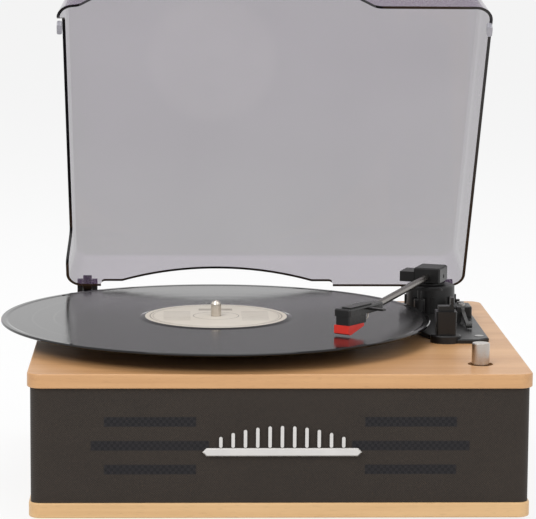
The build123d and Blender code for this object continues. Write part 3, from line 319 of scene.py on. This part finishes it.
@dataclass(frozen=True)
class Veneer:
    """Pale lacquered wood with its grain along X."""

    pale: Triple
    deep: Triple
    streaks: float = 170.0
    drift: float = 0.0
    pore_level: float = 0.66
    pore_shade: float = 0.45
    relief_depth: float = 0.00006

    def paint(self, name: str) -> bpy.types.Material:
        """Makes the material."""
        graph = Graph(name)
        place = graph.join(graph.x + self.drift, graph.y + self.drift, graph.z)
        fine = graph.noise((7.0, self.streaks * 2.4, self.streaks * 2.4), 4.0, 0.3, place)
        broad = graph.noise((2.2, self.streaks * 0.16, self.streaks * 0.16), 3.0, 1.2, place)
        bands = graph.noise((1.1, self.streaks * 0.5, self.streaks * 0.5), 2.0, 0.5, place)
        pores = graph.noise((95.0, 2600.0, 2600.0), 1.0, 0.0, place) > self.pore_level
        share = (fine.steeper(1.5) * 0.34 + broad.steeper(2.4) * 0.38 + bands.steeper(2.0) * 0.28).held()
        wood = graph.blend(share, self.pale, self.deep)
        worn = graph.blend(pores * 0.22, wood, tuple(part * self.pore_shade for part in self.deep))
        return graph.done(
            Base_Color=worn, Roughness=0.36 + fine * 0.14, Coat_Weight=0.12, Coat_Roughness=0.25,
            Normal=graph.relief(fine - pores * 0.5, self.relief_depth, 0.5))


@dataclass(frozen=True)
class GrilleCloth:
    """Black and brown woven grille cloth, with painted shade where it spans a slot."""

    thread: float
    pale: Triple
    deep: Triple
    front: float
    centre: tuple[float, float]
    reach: float
    rows: tuple[tuple[float, float], ...]
    slot_height: float
    grow: tuple[float, float] = (0.0004, 0.0003)
    fade: tuple[float, float] = (0.0009, 0.0008)
    # Dark and paler tones of the painted shade over the slots.
    slot_shade_deep: Triple = tint(17, 18, 23)
    slot_shade_pale: Triple = tint(38, 37, 40)
    relief_depth: float = 0.00012

    def slots(self, graph: Graph) -> Value:
        """One over the slots in the board behind, where the cloth gets painted shade.

        Args:
            graph: The finish's graph.

        Returns:
            The mask.
        """
        aside = abs(abs(graph.x - self.centre[0]) - self.reach)
        mask: Value | None = None
        for height, half in self.rows:
            rise = abs(graph.z - (self.centre[1] + height))
            across = ((half + self.grow[0] - aside) / self.fade[0]).held()
            up = ((self.slot_height / 2 + self.grow[1] - rise) / self.fade[1]).held()
            mask = across * up if mask is None else mask.most(across * up)
        return mask * (graph.y < self.front)

    def paint(self, name: str) -> bpy.types.Material:
        """Makes the material."""
        graph = Graph(name)
        turn = 2 * math.pi / self.thread
        across = ((graph.x + graph.y) * turn).sine()
        up = (graph.z * turn).sine()
        weave = across * up * 0.5 + 0.5
        fluff = graph.noise((900.0, 900.0, 900.0), 2.0)
        patch = graph.noise((28.0, 28.0, 40.0), 2.0)
        over = self.slots(graph)
        dots = ((graph.x * turn * 0.4).sine() * (graph.z * turn * 0.4).sine() * 3.0 + 0.5).held()
        share = (weave * 0.62 + fluff.steeper(2.0) * 0.24 + patch * 0.22).held()
        cloth = graph.blend(share, self.deep, self.pale)
        # Painted shade: over the slots the cloth turns to a dark dotted tone, standing in for the shade of
        # the hollows behind.
        slot_shade_tone = graph.blend(dots * 0.6 + weave * 0.1, self.slot_shade_deep, self.slot_shade_pale)
        return graph.done(
            Base_Color=graph.blend(over * 0.85, cloth, slot_shade_tone), Roughness=0.82 + weave * 0.12,
            Sheen_Weight=0.15, Sheen_Roughness=0.5, Specular_IOR_Level=0.25,
            Normal=graph.relief(weave, self.relief_depth, 0.7))


@dataclass(frozen=True)
class Vinyl:
    """Pressed black record with grooves, track gaps and a smooth lead-out, with painted sheen on the grooved
    band.
    """

    centre: Triple
    label: float
    edge: float
    gaps: tuple[float, ...] = (0.071, 0.085, 0.1005, 0.114, 0.129)
    gap_half: float = 0.00055
    lead_out: float = 0.011
    bead: float = 0.005
    spirals: tuple[float, float] = (0.0065, 0.009)
    spiral_half: float = 0.0003
    pitch: float = 0.0011
    deep: Triple = tint(9, 8, 9)
    # Lighter tone of the painted groove sheen.
    pale: Triple = tint(22, 20, 21)
    relief_depth: float = 0.00003

    def paint(self, name: str) -> bpy.types.Material:
        """Makes the material."""
        graph = Graph(name)
        out = graph.radius(self.centre)
        rings = graph.noise((1.0, 1.0, 1.0), 3.0, 0.0, graph.join(out * 420.0, 0.0, 0.0))
        coarse = graph.noise((1.0, 1.0, 1.0), 2.0, 0.0, graph.join(out * 95.0, 3.0, 0.0))
        groove = (out * (2 * math.pi / self.pitch)).sine() * 0.5 + 0.5
        smooth = (out < self.label + self.lead_out).most(out > self.edge - self.bead)
        for gap in self.gaps:
            smooth = smooth.most(abs(out - gap) < self.gap_half)
        inner, outer = (abs(out - (self.label + spiral)) < self.spiral_half for spiral in self.spirals)
        lead = inner.most(outer)
        cut = (1.0 - smooth) * (rings.steeper(1.6) * 0.5 + groove * 0.5) + lead
        # Painted sheen: the grooved band is lighter in concentric rings, for light caught by the grooves.
        groove_sheen = (1.0 - smooth) * (coarse.steeper(2.2) * 0.6 + rings * 0.4)
        shade = graph.blend(groove_sheen, self.deep, self.pale)
        return graph.done(
            Base_Color=shade, Roughness=0.08 + (1.0 - smooth) * (0.05 + coarse * 0.06),
            Specular_IOR_Level=0.3, Normal=graph.relief(cut, self.relief_depth, 0.25))


@dataclass(frozen=True)
class PrintedLabel:
    """Cream paper label with plain rings and ruled lines."""

    centre: Triple
    size: float
    ring_shares: tuple[float, float, float] = (0.93, 0.32, 0.89)
    ring_halves: tuple[float, float, float] = (0.0004, 0.0003, 0.0002)
    rule_start: float = -0.05
    rule_pitch: float = 0.0052
    rule_width: float = 0.0012
    rule_reach: float = 0.021
    rule_ends: tuple[float, float] = (0.36, 0.74)
    badge_half: tuple[float, float] = (0.012, 0.0042)
    badge_up: float = 0.027
    paper: Triple = tint(224, 217, 206)
    aged: Triple = tint(203, 193, 178)
    ink: Triple = tint(84, 70, 58)

    def paint(self, name: str) -> bpy.types.Material:
        """Makes the material."""
        graph = Graph(name)
        out = graph.radius(self.centre)
        aside = graph.x - self.centre[0]
        along = graph.y - self.centre[1]
        mottle = graph.noise((160.0, 160.0, 160.0), 4.0)
        stain = graph.noise((24.0, 24.0, 24.0), 2.0)
        paper = graph.blend(stain.steeper(1.8) * 0.5 + mottle * 0.35, self.paper, self.aged)
        outer, inner, thin = (abs(out - self.size * share) < half
                              for share, half in zip(self.ring_shares, self.ring_halves))
        rings = outer.most(inner).most(thin)
        near, far = (self.size * end for end in self.rule_ends)
        rule = (along - self.rule_start).repeat(self.rule_pitch) < self.rule_width
        rule = rule * (abs(along) < self.rule_reach)
        rule = rule * (abs(aside) > near) * (abs(aside) < far)
        block = (abs(aside) < self.badge_half[0]) * (abs(along - self.badge_up) < self.badge_half[1])
        printed = rings.most(rule * 0.8).most(block * 0.75) * (0.6 + mottle * 0.5)
        return graph.done(
            Base_Color=graph.blend(printed.held() * 0.8, paper, self.ink), Roughness=0.46 + mottle * 0.14,
            Coat_Weight=0.1, Coat_Roughness=0.3, Normal=graph.relief(mottle, 0.00002, 0.4))


class Brushing(Enum):
    """Which way a metal's fine lines run."""

    ROUND = (90.0, 90.0, 5200.0)
    ALONG_X = (60.0, 3800.0, 3800.0)
    ALONG_Y = (3800.0, 60.0, 3800.0)


@dataclass(frozen=True)
class BrushedMetal:
    """Metal with fine brush lines and softened tone."""

    colour: Triple
    roughness: float = 0.3
    lines: Brushing = Brushing.ROUND
    depth: float = 0.00001
    shaded: float = 0.78

    def paint(self, name: str) -> bpy.types.Material:
        """Makes the material."""
        graph = Graph(name)
        fine = graph.noise(self.lines.value, 3.0)
        broad = graph.noise((70.0, 70.0, 70.0), 2.0)
        shade = graph.blend((fine * 0.6 + broad * 0.4).steeper(1.5), self.colour,
                            tuple(part * self.shaded for part in self.colour))
        return graph.done(
            Base_Color=shade, Metallic=1.0, Roughness=self.roughness * 0.8 + fine * (self.roughness * 0.4),
            Normal=graph.relief(fine, self.depth, 0.4))


@dataclass(frozen=True)
class MouldedPlastic:
    """Moulded plastic or rubber with a fine skin."""

    colour: Triple
    roughness: float = 0.42
    grain: float = 1500.0
    depth: float = 0.00003
    gloss: float = 0.5
    lifted: tuple[float, float] = (1.35, 0.002)

    def paint(self, name: str) -> bpy.types.Material:
        """Makes the material."""
        graph = Graph(name)
        skin = graph.noise((self.grain, self.grain, self.grain), 2.0)
        handling = graph.noise((55.0, 55.0, 55.0), 3.0)
        shade = graph.blend(handling.steeper(1.8) * 0.6 + skin * 0.3, self.colour,
                            tuple(part * self.lifted[0] + self.lifted[1] for part in self.colour))
        return graph.done(
            Base_Color=shade, Roughness=(self.roughness - 0.08) + handling * 0.1 + skin * 0.06,
            Specular_IOR_Level=self.gloss, Normal=graph.relief(skin, self.depth, 0.35))


@dataclass(frozen=True)
class SmokedShell:
    """Clear plastic with a grey-violet tint and faint haze."""

    colour: Triple
    density: float
    bending: float = 1.49

    def paint(self, name: str) -> bpy.types.Material:
        """Makes the material."""
        graph = Graph(name)
        haze = graph.noise((9.0, 9.0, 9.0), 2.0)
        swirls = graph.noise((240.0, 30.0, 240.0), 2.0)
        return graph.done(
            Base_Color=graph.blend(haze, self.colour, tuple(part * 0.9 for part in self.colour)),
            Roughness=0.05 + swirls * 0.05, Alpha=self.density - 0.02 + haze * 0.04, Specular_IOR_Level=0.5,
            IOR=self.bending, Normal=graph.relief(haze, 0.0002, 0.1))


@dataclass(frozen=True)
class PressedFibre:
    """Raw board, paper or ferrite with chips of two tones."""

    pale: Triple
    deep: Triple
    chips: float = 420.0
    roughness: float = 0.85

    def paint(self, name: str) -> bpy.types.Material:
        """Makes the material."""
        graph = Graph(name)
        chips = graph.noise((self.chips, self.chips, self.chips), 4.0)
        broad = graph.noise((30.0, 30.0, 30.0), 2.0)
        shade = graph.blend((chips.steeper(2.2) * 0.7 + broad * 0.3).held(), self.pale, self.deep)
        return graph.done(Base_Color=shade, Roughness=self.roughness - chips * 0.1,
                          Normal=graph.relief(chips, 0.0001, 0.5))


@dataclass(frozen=True)
class CircuitCard:
    """Green lacquered board with paler tracks."""

    pitch: float = 0.0035
    share: float = 0.3
    lacquer: Triple = tint(16, 78, 42)
    track: Triple = tint(52, 128, 74)

    def paint(self, name: str) -> bpy.types.Material:
        """Makes the material."""
        graph = Graph(name)
        bend = graph.noise((40.0, 40.0, 40.0), 1.0)
        width = self.pitch * self.share
        upright = (graph.x + bend * 0.004).repeat(self.pitch) < width
        tracks = upright.most((graph.z + bend * 0.006).repeat(self.pitch * 2.6) < width)
        return graph.done(
            Base_Color=graph.blend(tracks, self.lacquer, self.track), Roughness=0.34 + bend * 0.1,
            Normal=graph.relief(tracks, 0.00004, 0.5))


# Finishes that several groups share

BLACK_PLASTIC = MouldedPlastic(tint(14, 13, 13), roughness=0.36, grain=1300.0, gloss=0.35)
GREY_PLASTIC = MouldedPlastic(tint(40, 39, 38), roughness=0.4, grain=1300.0, gloss=0.4)
HEAD_PLASTIC = MouldedPlastic(tint(18, 17, 17), roughness=0.28, grain=1600.0, depth=0.00002, gloss=0.4)
PLAIN_STEEL = BrushedMetal(tint(176, 174, 171), roughness=0.32)


# Pieces


class Bench:
    """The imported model's pieces, and what they wear."""

    def __init__(self, frame: Mapping[str, Any]) -> None:
        """Takes the loaded frame.
        """
        self.nodes: Mapping[str, bpy.types.Object] = frame["nodes"]
        self.painted: dict[str, bpy.types.Material] = {}

    def paint(self, name: str, finish: Any) -> bpy.types.Material:
        """Makes a finish once and gives it again by name.

        Args:
            name: The material's name.
            finish: The finish that paints it.

        Returns:
            The material.
        """
        if name not in self.painted:
            self.painted[name] = finish.paint(name)
        return self.painted[name]

    def dress(self, name: str, finish: Any, *nodes: str) -> None:
        """Gives some of the model's pieces a finish.

        Args:
            name: The material's name.
            finish: The finish.
            nodes: Names of the pieces.
        """
        made = self.paint(name, finish)
        for node in nodes:
            mesh = self.nodes[node].data
            mesh.materials.clear()
            mesh.materials.append(made)
            LOG.info("%s wears %s", node, name)

    def add(self, name: str, mesh: bmesh.types.BMesh, body: str, slot: str, finish: bpy.types.Material,
            smooth: bool = False) -> bpy.types.Object:
        """Adds a piece of its own.

        Args:
            name: The piece's name.
            mesh: Its faces, freed here.
            body: Body it rides on.
            slot: Not used.
            finish: Its material.
            smooth: Whether its faces are shaded smooth.

        Returns:
            The new object.
        """
        bmesh.ops.recalc_face_normals(mesh, faces=mesh.faces)
        for face in mesh.faces:
            face.smooth = smooth
        data = bpy.data.meshes.new(name)
        mesh.to_mesh(data)
        mesh.free()
        data.materials.append(finish)
        made = bpy.data.objects.new(name, data)
        bpy.context.scene.collection.objects.link(made)
        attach(made, body)
        LOG.info("added %s on %s", name, body)
        return made


def middle(node: str) -> Vector:
    """Middle of a piece's box."""
    low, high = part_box(node)
    return (Vector(low) + Vector(high)) / 2


def half_width(node: str) -> float:
    """Half of a piece's width along X."""
    low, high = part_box(node)
    return (high[0] - low[0]) / 2


@dataclass
class Cabinet:
    """Wooden boards, the cloth round them and what stands under them."""

    bench: Bench
    inset: float = 0.00005
    corner: float = 0.007
    corner_steps: int = 8
    step: float = 0.0025
    margin: float = 0.0003
    near: float = 0.0001
    skin: float = 0.001
    sag: float = 0.00035
    slope: float = 0.0015
    slot_height: float = 0.0066
    reach: float = 0.085
    rows: tuple[tuple[float, float], ...] = ((0.0158, 0.030), (0.0, 0.0385), (-0.0158, 0.030))

    def cloth(self) -> None:
        """Wraps the cloth round the boards as one stretched sheet, pressed a little into the slots."""
        low, high = (Vector(corner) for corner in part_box("cloth_wrap"))
        half_x = (high.x - low.x) / 2 - self.inset
        half_y = (high.y - low.y) / 2 - self.inset
        centre = (low + high) / 2
        gap_low, gap_high = (Vector(corner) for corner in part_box("jack_plate"))
        around = self.outline(half_x, half_y, gap_low.x - centre.x, gap_high.x - centre.x)
        stops = {low.z, high.z, gap_low.z - self.margin, gap_high.z + self.margin}
        count = round((high.z - low.z) / self.step)
        heights = sorted(stops | {low.z + (high.z - low.z) * i / count for i in range(count + 1)})
        mesh = bmesh.new()
        rows = []
        for z in heights:
            row = []
            for x, y in around:
                push = self.sag * self.pressed(x, z - centre.z) if y < -half_y + self.near else 0.0
                row.append(mesh.verts.new((centre.x + x, centre.y + y + push, z)))
            rows.append(row)
        area = 0.0
        for below, above in zip(rows, rows[1:]):
            for i in range(len(around)):
                j = (i + 1) % len(around)
                spot = (below[i].co + above[j].co) / 2
                at_back = spot.y > centre.y + half_y - self.skin
                if at_back and all(gap_low[axis] - self.margin < spot[axis] < gap_high[axis] + self.margin
                                   for axis in (0, 2)):
                    continue
                area += mesh.faces.new((below[i], below[j], above[j], above[i])).calc_area()
        finish = GrilleCloth(
            thread=0.0016, pale=tint(62, 54, 47), deep=tint(25, 22, 21), front=centre.y - half_y + self.skin,
            centre=(centre.x, centre.z), reach=self.reach, rows=self.rows, slot_height=self.slot_height)
        woven = self.bench.paint("speaker_cloth", finish)
        made = self.bench.add("grille_cloth", mesh, "cabinet", "speaker_cloth", woven, smooth=True)
        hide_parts("cloth_wrap")
        length = sum((Vector(a) - Vector(b)).length for a, b in zip(around, around[1:] + around[:1]))

    def pressed(self, x: float, rise: float) -> float:
        """How far the cloth is pressed in over a slot.

        Args:
            x: Place across the cabinet, from its middle.
            rise: Height over the cloth's middle.

        Returns:
            Nought to one.
        """
        most = 0.0
        for height, half in self.rows:
            across = half - abs(abs(x) - self.reach)
            up = self.slot_height / 2 - abs(rise - height)
            most = max(most, min(1.0, max(0.0, min(across, up) / self.slope)))
        return most

    def outline(self, half_x: float, half_y: float, gap_low: float,
                gap_high: float) -> list[tuple[float, float]]:
        """Points round the cloth, with a point at each side of the sockets' opening.

        Args:
            half_x: Half the width.
            half_y: Half the depth.
            gap_low: Left side of the opening.
            gap_high: Right side of the opening.

        Returns:
            The points from the front left, to the right and round.
        """
        flat_x = half_x - self.corner
        flat_y = half_y - self.corner
        across = round(2 * flat_x / self.step)
        along = round(2 * flat_y / self.step)
        xs = [-flat_x + 2 * flat_x * i / across for i in range(across + 1)]
        ys = [-flat_y + 2 * flat_y * i / along for i in range(along + 1)]
        back = sorted(set(xs) | {gap_low - self.margin, gap_high + self.margin}, reverse=True)
        turns = [math.radians(90 * i / self.corner_steps) for i in range(1, self.corner_steps)]
        points = [(x, -half_y) for x in xs]
        points += [(flat_x + self.corner * math.sin(t), -flat_y - self.corner * math.cos(t)) for t in turns]
        points += [(half_x, y) for y in ys]
        points += [(flat_x + self.corner * math.cos(t), flat_y + self.corner * math.sin(t)) for t in turns]
        points += [(x, half_y) for x in back]
        points += [(-flat_x - self.corner * math.sin(t), flat_y + self.corner * math.cos(t)) for t in turns]
        points += [(-half_x, y) for y in reversed(ys)]
        points += [(-flat_x - self.corner * math.cos(t), -flat_y - self.corner * math.sin(t)) for t in turns]
        return points

    def build(self) -> None:
        """Builds and dresses the cabinet."""
        bench = self.bench
        bench.dress("deck_veneer", Veneer(tint(216, 170, 120), tint(172, 122, 76)), "top_panel")
        # The bottom panel wears a paler copy of the deck veneer: painted light for its brightly lit front
        # face.
        base = Veneer(tint(232, 196, 146), tint(204, 160, 108), drift=0.4)
        bench.dress("base_veneer_painted_paler", base, "bottom_panel")
        bench.dress("raw_board", PressedFibre(tint(150, 120, 88), tint(112, 84, 58)),
                    "front_baffle", "back_panel", "left_side", "right_side", "corner_blocks")
        rubber = MouldedPlastic(tint(34, 33, 33), roughness=0.8, grain=900.0, depth=0.00008, gloss=0.3)
        bench.dress("foot_rubber", rubber, "feet")
        bench.dress("plain_steel", PLAIN_STEEL, "base_screws", "tonearm_screws")
        self.cloth()


@dataclass
class Ornament:
    """Bright bar and its plain fins on the front."""

    bench: Bench

    def build(self) -> None:
        """Dresses the ornament."""
        satin = BrushedMetal(tint(226, 223, 220), roughness=0.34, lines=Brushing.ALONG_X)
        self.bench.dress("satin_trim", satin, "trim_bar", "trim_fins")


@dataclass
class Speakers:
    """Baskets, cones and magnets behind the front board."""

    bench: Bench

    def build(self) -> None:
        """Dresses the speakers."""
        self.bench.dress("plain_steel", PLAIN_STEEL, "speaker_frames")
        paper = PressedFibre(tint(48, 45, 43), tint(30, 28, 27), chips=900.0)
        ferrite = PressedFibre(tint(74, 74, 77), tint(52, 52, 55), chips=1600.0, roughness=0.6)
        self.bench.dress("cone_paper", paper, "speaker_cones")
        self.bench.dress("ferrite", ferrite, "speaker_magnets")


@dataclass
class Turntable:
    """Platter, mat, record, label, spindle and the drive under the deck."""

    bench: Bench

    def build(self) -> None:
        """Dresses the turning pieces and the drive."""
        bench = self.bench
        centre = tuple(middle("record_label"))
        label, edge = half_width("record_label"), half_width("record")
        bench.dress("pressed_vinyl", Vinyl(centre, label, edge), "record")
        bench.dress("label_paper", PrintedLabel(centre, label), "record_label")
        mat = MouldedPlastic(tint(30, 30, 30), roughness=0.85, grain=700.0, depth=0.0001, gloss=0.3)
        belt = MouldedPlastic(tint(26, 26, 26), roughness=0.75, grain=500.0, depth=0.00006, gloss=0.3)
        steel = BrushedMetal(tint(214, 206, 196), roughness=0.2)
        brass = BrushedMetal(tint(206, 170, 104), roughness=0.3)
        bench.dress("platter_plastic", MouldedPlastic(tint(44, 43, 44), roughness=0.5), "platter")
        bench.dress("mat_rubber", mat, "platter_mat")
        bench.dress("turned_steel", steel, "spindle", "motor_shaft")
        bench.dress("turned_brass", brass, "bearing_housing", "motor_pulley")
        bench.dress("belt_rubber", belt, "drive_belt")
        bench.dress("plain_steel", PLAIN_STEEL, "motor", "motor_bracket")


@dataclass
class Tonearm:
    """Arm, head and cartridge, with the base that carries them."""

    bench: Bench

    def build(self) -> None:
        """Dresses the arm."""
        bench = self.bench
        bench.dress("black_plastic", BLACK_PLASTIC, "tonearm_base", "pivot_turret", "arm_rest", "arm_swivel",
                    "arm_block", "switch_housing")
        bench.dress("head_plastic", HEAD_PLASTIC, "headshell", "finger_lift", "cartridge")
        nickel = BrushedMetal(tint(122, 116, 110), roughness=0.26, lines=Brushing.ALONG_Y)
        red = MouldedPlastic(tint(214, 46, 34), roughness=0.24, grain=1800.0, depth=0.00001, gloss=0.55)
        bench.dress("dark_nickel", nickel, "tonearm_tube")
        bench.dress("red_guard", red, "stylus")
        bench.dress("bright_wire", BrushedMetal(tint(224, 214, 200), roughness=0.25), "cartridge_leads")
        bench.dress("plain_steel", PLAIN_STEEL, "arm_pivot_pin", "counterweight")


@dataclass
class CueControls:
    """Cue lever with its post, the lift and the two switches."""

    bench: Bench

    def build(self) -> None:
        """Dresses the controls."""
        self.bench.dress("black_plastic", BLACK_PLASTIC, "lift_platform", "lift_guide", "cue_post")
        self.bench.dress("grey_plastic", GREY_PLASTIC, "cue_lever", "speed_selector", "auto_stop_switch")


@dataclass
class VolumeControl:
    """Knob on the deck with the control under it."""

    bench: Bench

    def build(self) -> None:
        """Dresses the volume control."""
        aluminium = BrushedMetal(tint(190, 182, 174), roughness=0.24, depth=0.00002)
        self.bench.dress("brushed_knob", aluminium, "volume_knob")
        self.bench.dress("plain_steel", PLAIN_STEEL, "pot_shaft", "volume_pot")


@dataclass
class Sockets:
    """Sockets in the back and the circuit board behind them."""

    bench: Bench

    def build(self) -> None:
        """Dresses the sockets."""
        self.bench.dress("black_plastic", BLACK_PLASTIC, "jack_plate", "aux_jack", "dc_inlet")
        self.bench.dress("plated_brass", BrushedMetal(tint(222, 208, 172), roughness=0.22), "rca_jacks")
        self.bench.dress("circuit_card", CircuitCard(), "circuit_board")


@dataclass
class Lid:
    """Smoked shell with dark rims, its knuckles, pins and bumpers."""

    bench: Bench
    opening: float = math.radians(55.0)
    top_rise: float = 0.0268
    top_clear: float = 0.0073
    lean: float = 0.5
    smoke: SmokedShell = SmokedShell(tint(89, 62, 98), density=0.36)

    def rims(self) -> None:
        """Gives the faces of the shell's rim and of its notches the dark edge finish."""
        shell = self.bench.nodes["lid"]
        hinge = middle("hinge_pins")
        up = Vector((0.0, math.sin(self.opening), math.cos(self.opening)))
        edge = MouldedPlastic(tint(12, 11, 14), roughness=0.2, grain=900.0, depth=0.00001)
        shell.data.materials.append(self.bench.paint("shell_edge", edge))
        for face in shell.data.polygons:
            rise = (Vector(face.center) - hinge).dot(up)
            if rise < self.top_rise - self.top_clear and abs(Vector(face.normal).dot(up)) > self.lean:
                face.material_index = 1

    def build(self) -> None:
        """Dresses the lid."""
        bench = self.bench
        bench.dress("smoked_shell", self.smoke, "lid")
        self.rims()
        bench.dress("black_plastic", BLACK_PLASTIC, "hinge_blocks", "lid_knuckles")
        bench.dress("plain_steel", PLAIN_STEEL, "hinge_pins")
        clear = MouldedPlastic(tint(150, 149, 156), roughness=0.2, grain=900.0, depth=0.00001, gloss=0.6)
        bench.dress("clear_bumper", clear, "lid_bumpers")


@dataclass(frozen=True)
class Lamp:
    """A square soft lamp: its name, where it hangs, its side and its power in watts."""

    name: str
    place: Triple
    size: float
    watts: float


@dataclass
class Studio:
    """Camera, floor and light."""

    lens: float = 170.6
    eye: Triple = (-0.05605, -1.77508, 0.4054)
    yaw: float = 0.037
    pitch: float = 0.141
    roll: float = -0.007
    sensor: float = 36.0
    far: float = 100.0
    floor_share: float = 0.82
    floor_half: float = 30.0
    floor_drop: float = 0.0002
    floor_tones: tuple[Triple, Triple] = (tint(243, 243, 243), tint(240, 240, 240))
    room_light: float = 0.52
    aim: Triple = (0.0, 0.0, 0.1)
    lamps: tuple[Lamp, ...] = (
        Lamp("key", (-0.9, -1.3, 1.7), 1.2, 22.0),
        Lamp("fill", (1.2, -1.5, 1.2), 1.2, 10.0),
        Lamp("top", (0.1, 0.5, 1.9), 1.4, 14.0),
    )

    def camera(self) -> None:
        """Puts the camera where the photograph was taken from."""
        ahead = Vector((math.sin(self.yaw) * math.cos(self.pitch), math.cos(self.yaw) * math.cos(self.pitch),
                        -math.sin(self.pitch)))
        right = Vector((math.cos(self.yaw), -math.sin(self.yaw), 0.0))
        down = ahead.cross(right)
        side = math.cos(self.roll) * right + math.sin(self.roll) * down
        low = -math.sin(self.roll) * right + math.cos(self.roll) * down
        data = bpy.data.cameras.new("camera")
        data.lens = self.lens
        data.sensor_fit = "HORIZONTAL"
        data.sensor_width = self.sensor
        data.clip_end = self.far
        made = bpy.data.objects.new("camera", data)
        turned = Matrix((side, -low, -ahead)).transposed().to_4x4()
        made.matrix_world = Matrix.Translation(self.eye) @ turned
        bpy.context.scene.collection.objects.link(made)
        bpy.context.scene.camera = made

    def backdrop(self, graph: Graph) -> Value:
        """Finds the rays that show the backdrop as it is: seen, off gloss and through clear plastic.

        Args:
            graph: The floor's graph.

        Returns:
            One for such rays, else nought.
        """
        path = graph.node("ShaderNodeLightPath", {}, {}).outputs
        seen = Value(graph, path["Is Camera Ray"])
        return seen.most(Value(graph, path["Is Glossy Ray"])).most(Value(graph, path["Is Transmission Ray"]))

    def floor(self) -> None:
        """Lays a plain pale floor that keeps the shadow."""
        graph = Graph("pale_floor")
        tooth = graph.noise((30.0, 30.0, 30.0), 2.0)
        matt = graph.node("ShaderNodeBsdfDiffuse", {}, {0: graph.blend(tooth, *self.floor_tones)})
        glow = graph.node("ShaderNodeEmission", {}, {0: (1.0, 1.0, 1.0), 1: 1.0})
        both = graph.node("ShaderNodeMixShader", {}, {
            0: self.backdrop(graph) * self.floor_share, 1: matt.outputs[0], 2: glow.outputs[0]})
        graph.node("ShaderNodeOutputMaterial", {}, {0: both.outputs[0]})
        mesh = bmesh.new()
        bmesh.ops.create_grid(mesh, x_segments=4, y_segments=4, size=self.floor_half)
        data = bpy.data.meshes.new("floor")
        mesh.to_mesh(data)
        mesh.free()
        data.materials.append(graph.material)
        made = bpy.data.objects.new("floor", data)
        made.location.z = -self.floor_drop
        bpy.context.scene.collection.objects.link(made)

    def hang(self, lamp: Lamp) -> None:
        """Hangs a lamp and turns it to the object.

        Args:
            lamp: The lamp.
        """
        data = bpy.data.lights.new(lamp.name, "AREA")
        data.shape = "SQUARE"
        data.size = lamp.size
        data.energy = lamp.watts
        made = bpy.data.objects.new(lamp.name, data)
        made.location = lamp.place
        made.rotation_euler = (Vector(self.aim) - Vector(lamp.place)).to_track_quat("-Z", "Y").to_euler()
        bpy.context.scene.collection.objects.link(made)

    def sky(self) -> None:
        """Gives the room a plain pale light."""
        world = bpy.data.worlds.new("room")
        bpy.context.scene.world = world
        world.use_nodes = True
        tree = world.node_tree
        tree.nodes.clear()
        path = tree.nodes.new("ShaderNodeLightPath").outputs
        seen = tree.nodes.new("ShaderNodeMath")
        seen.operation = "MAXIMUM"
        tree.links.new(path["Is Camera Ray"], seen.inputs[0])
        tree.links.new(path["Is Glossy Ray"], seen.inputs[1])
        level = tree.nodes.new("ShaderNodeMapRange")
        level.inputs["To Min"].default_value = self.room_light
        level.inputs["To Max"].default_value = 1.0
        tree.links.new(seen.outputs[0], level.inputs["Value"])
        glow = tree.nodes.new("ShaderNodeBackground")
        glow.inputs[0].default_value = (1.0, 1.0, 1.0, 1.0)
        tree.links.new(level.outputs[0], glow.inputs[1])
        tree.links.new(glow.outputs[0], tree.nodes.new("ShaderNodeOutputWorld").inputs[0])

    def build(self) -> None:
        """Sets the camera, floor, lamps and room."""
        self.camera()
        self.floor()
        self.sky()
        for lamp in self.lamps:
            self.hang(lamp)
        bpy.context.scene.view_settings.view_transform = "Standard"


def main() -> None:
    """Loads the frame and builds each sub-assembly in order."""
    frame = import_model()
    bench = Bench(frame)
    groups = (Cabinet, Ornament, Speakers, Turntable, Tonearm, CueControls, VolumeControl, Sockets, Lid)
    for group in groups:
        LOG.info("building %s", group.__name__)
        group(bench).build()
    Studio().build()


if __name__ == "__main__":
    main()
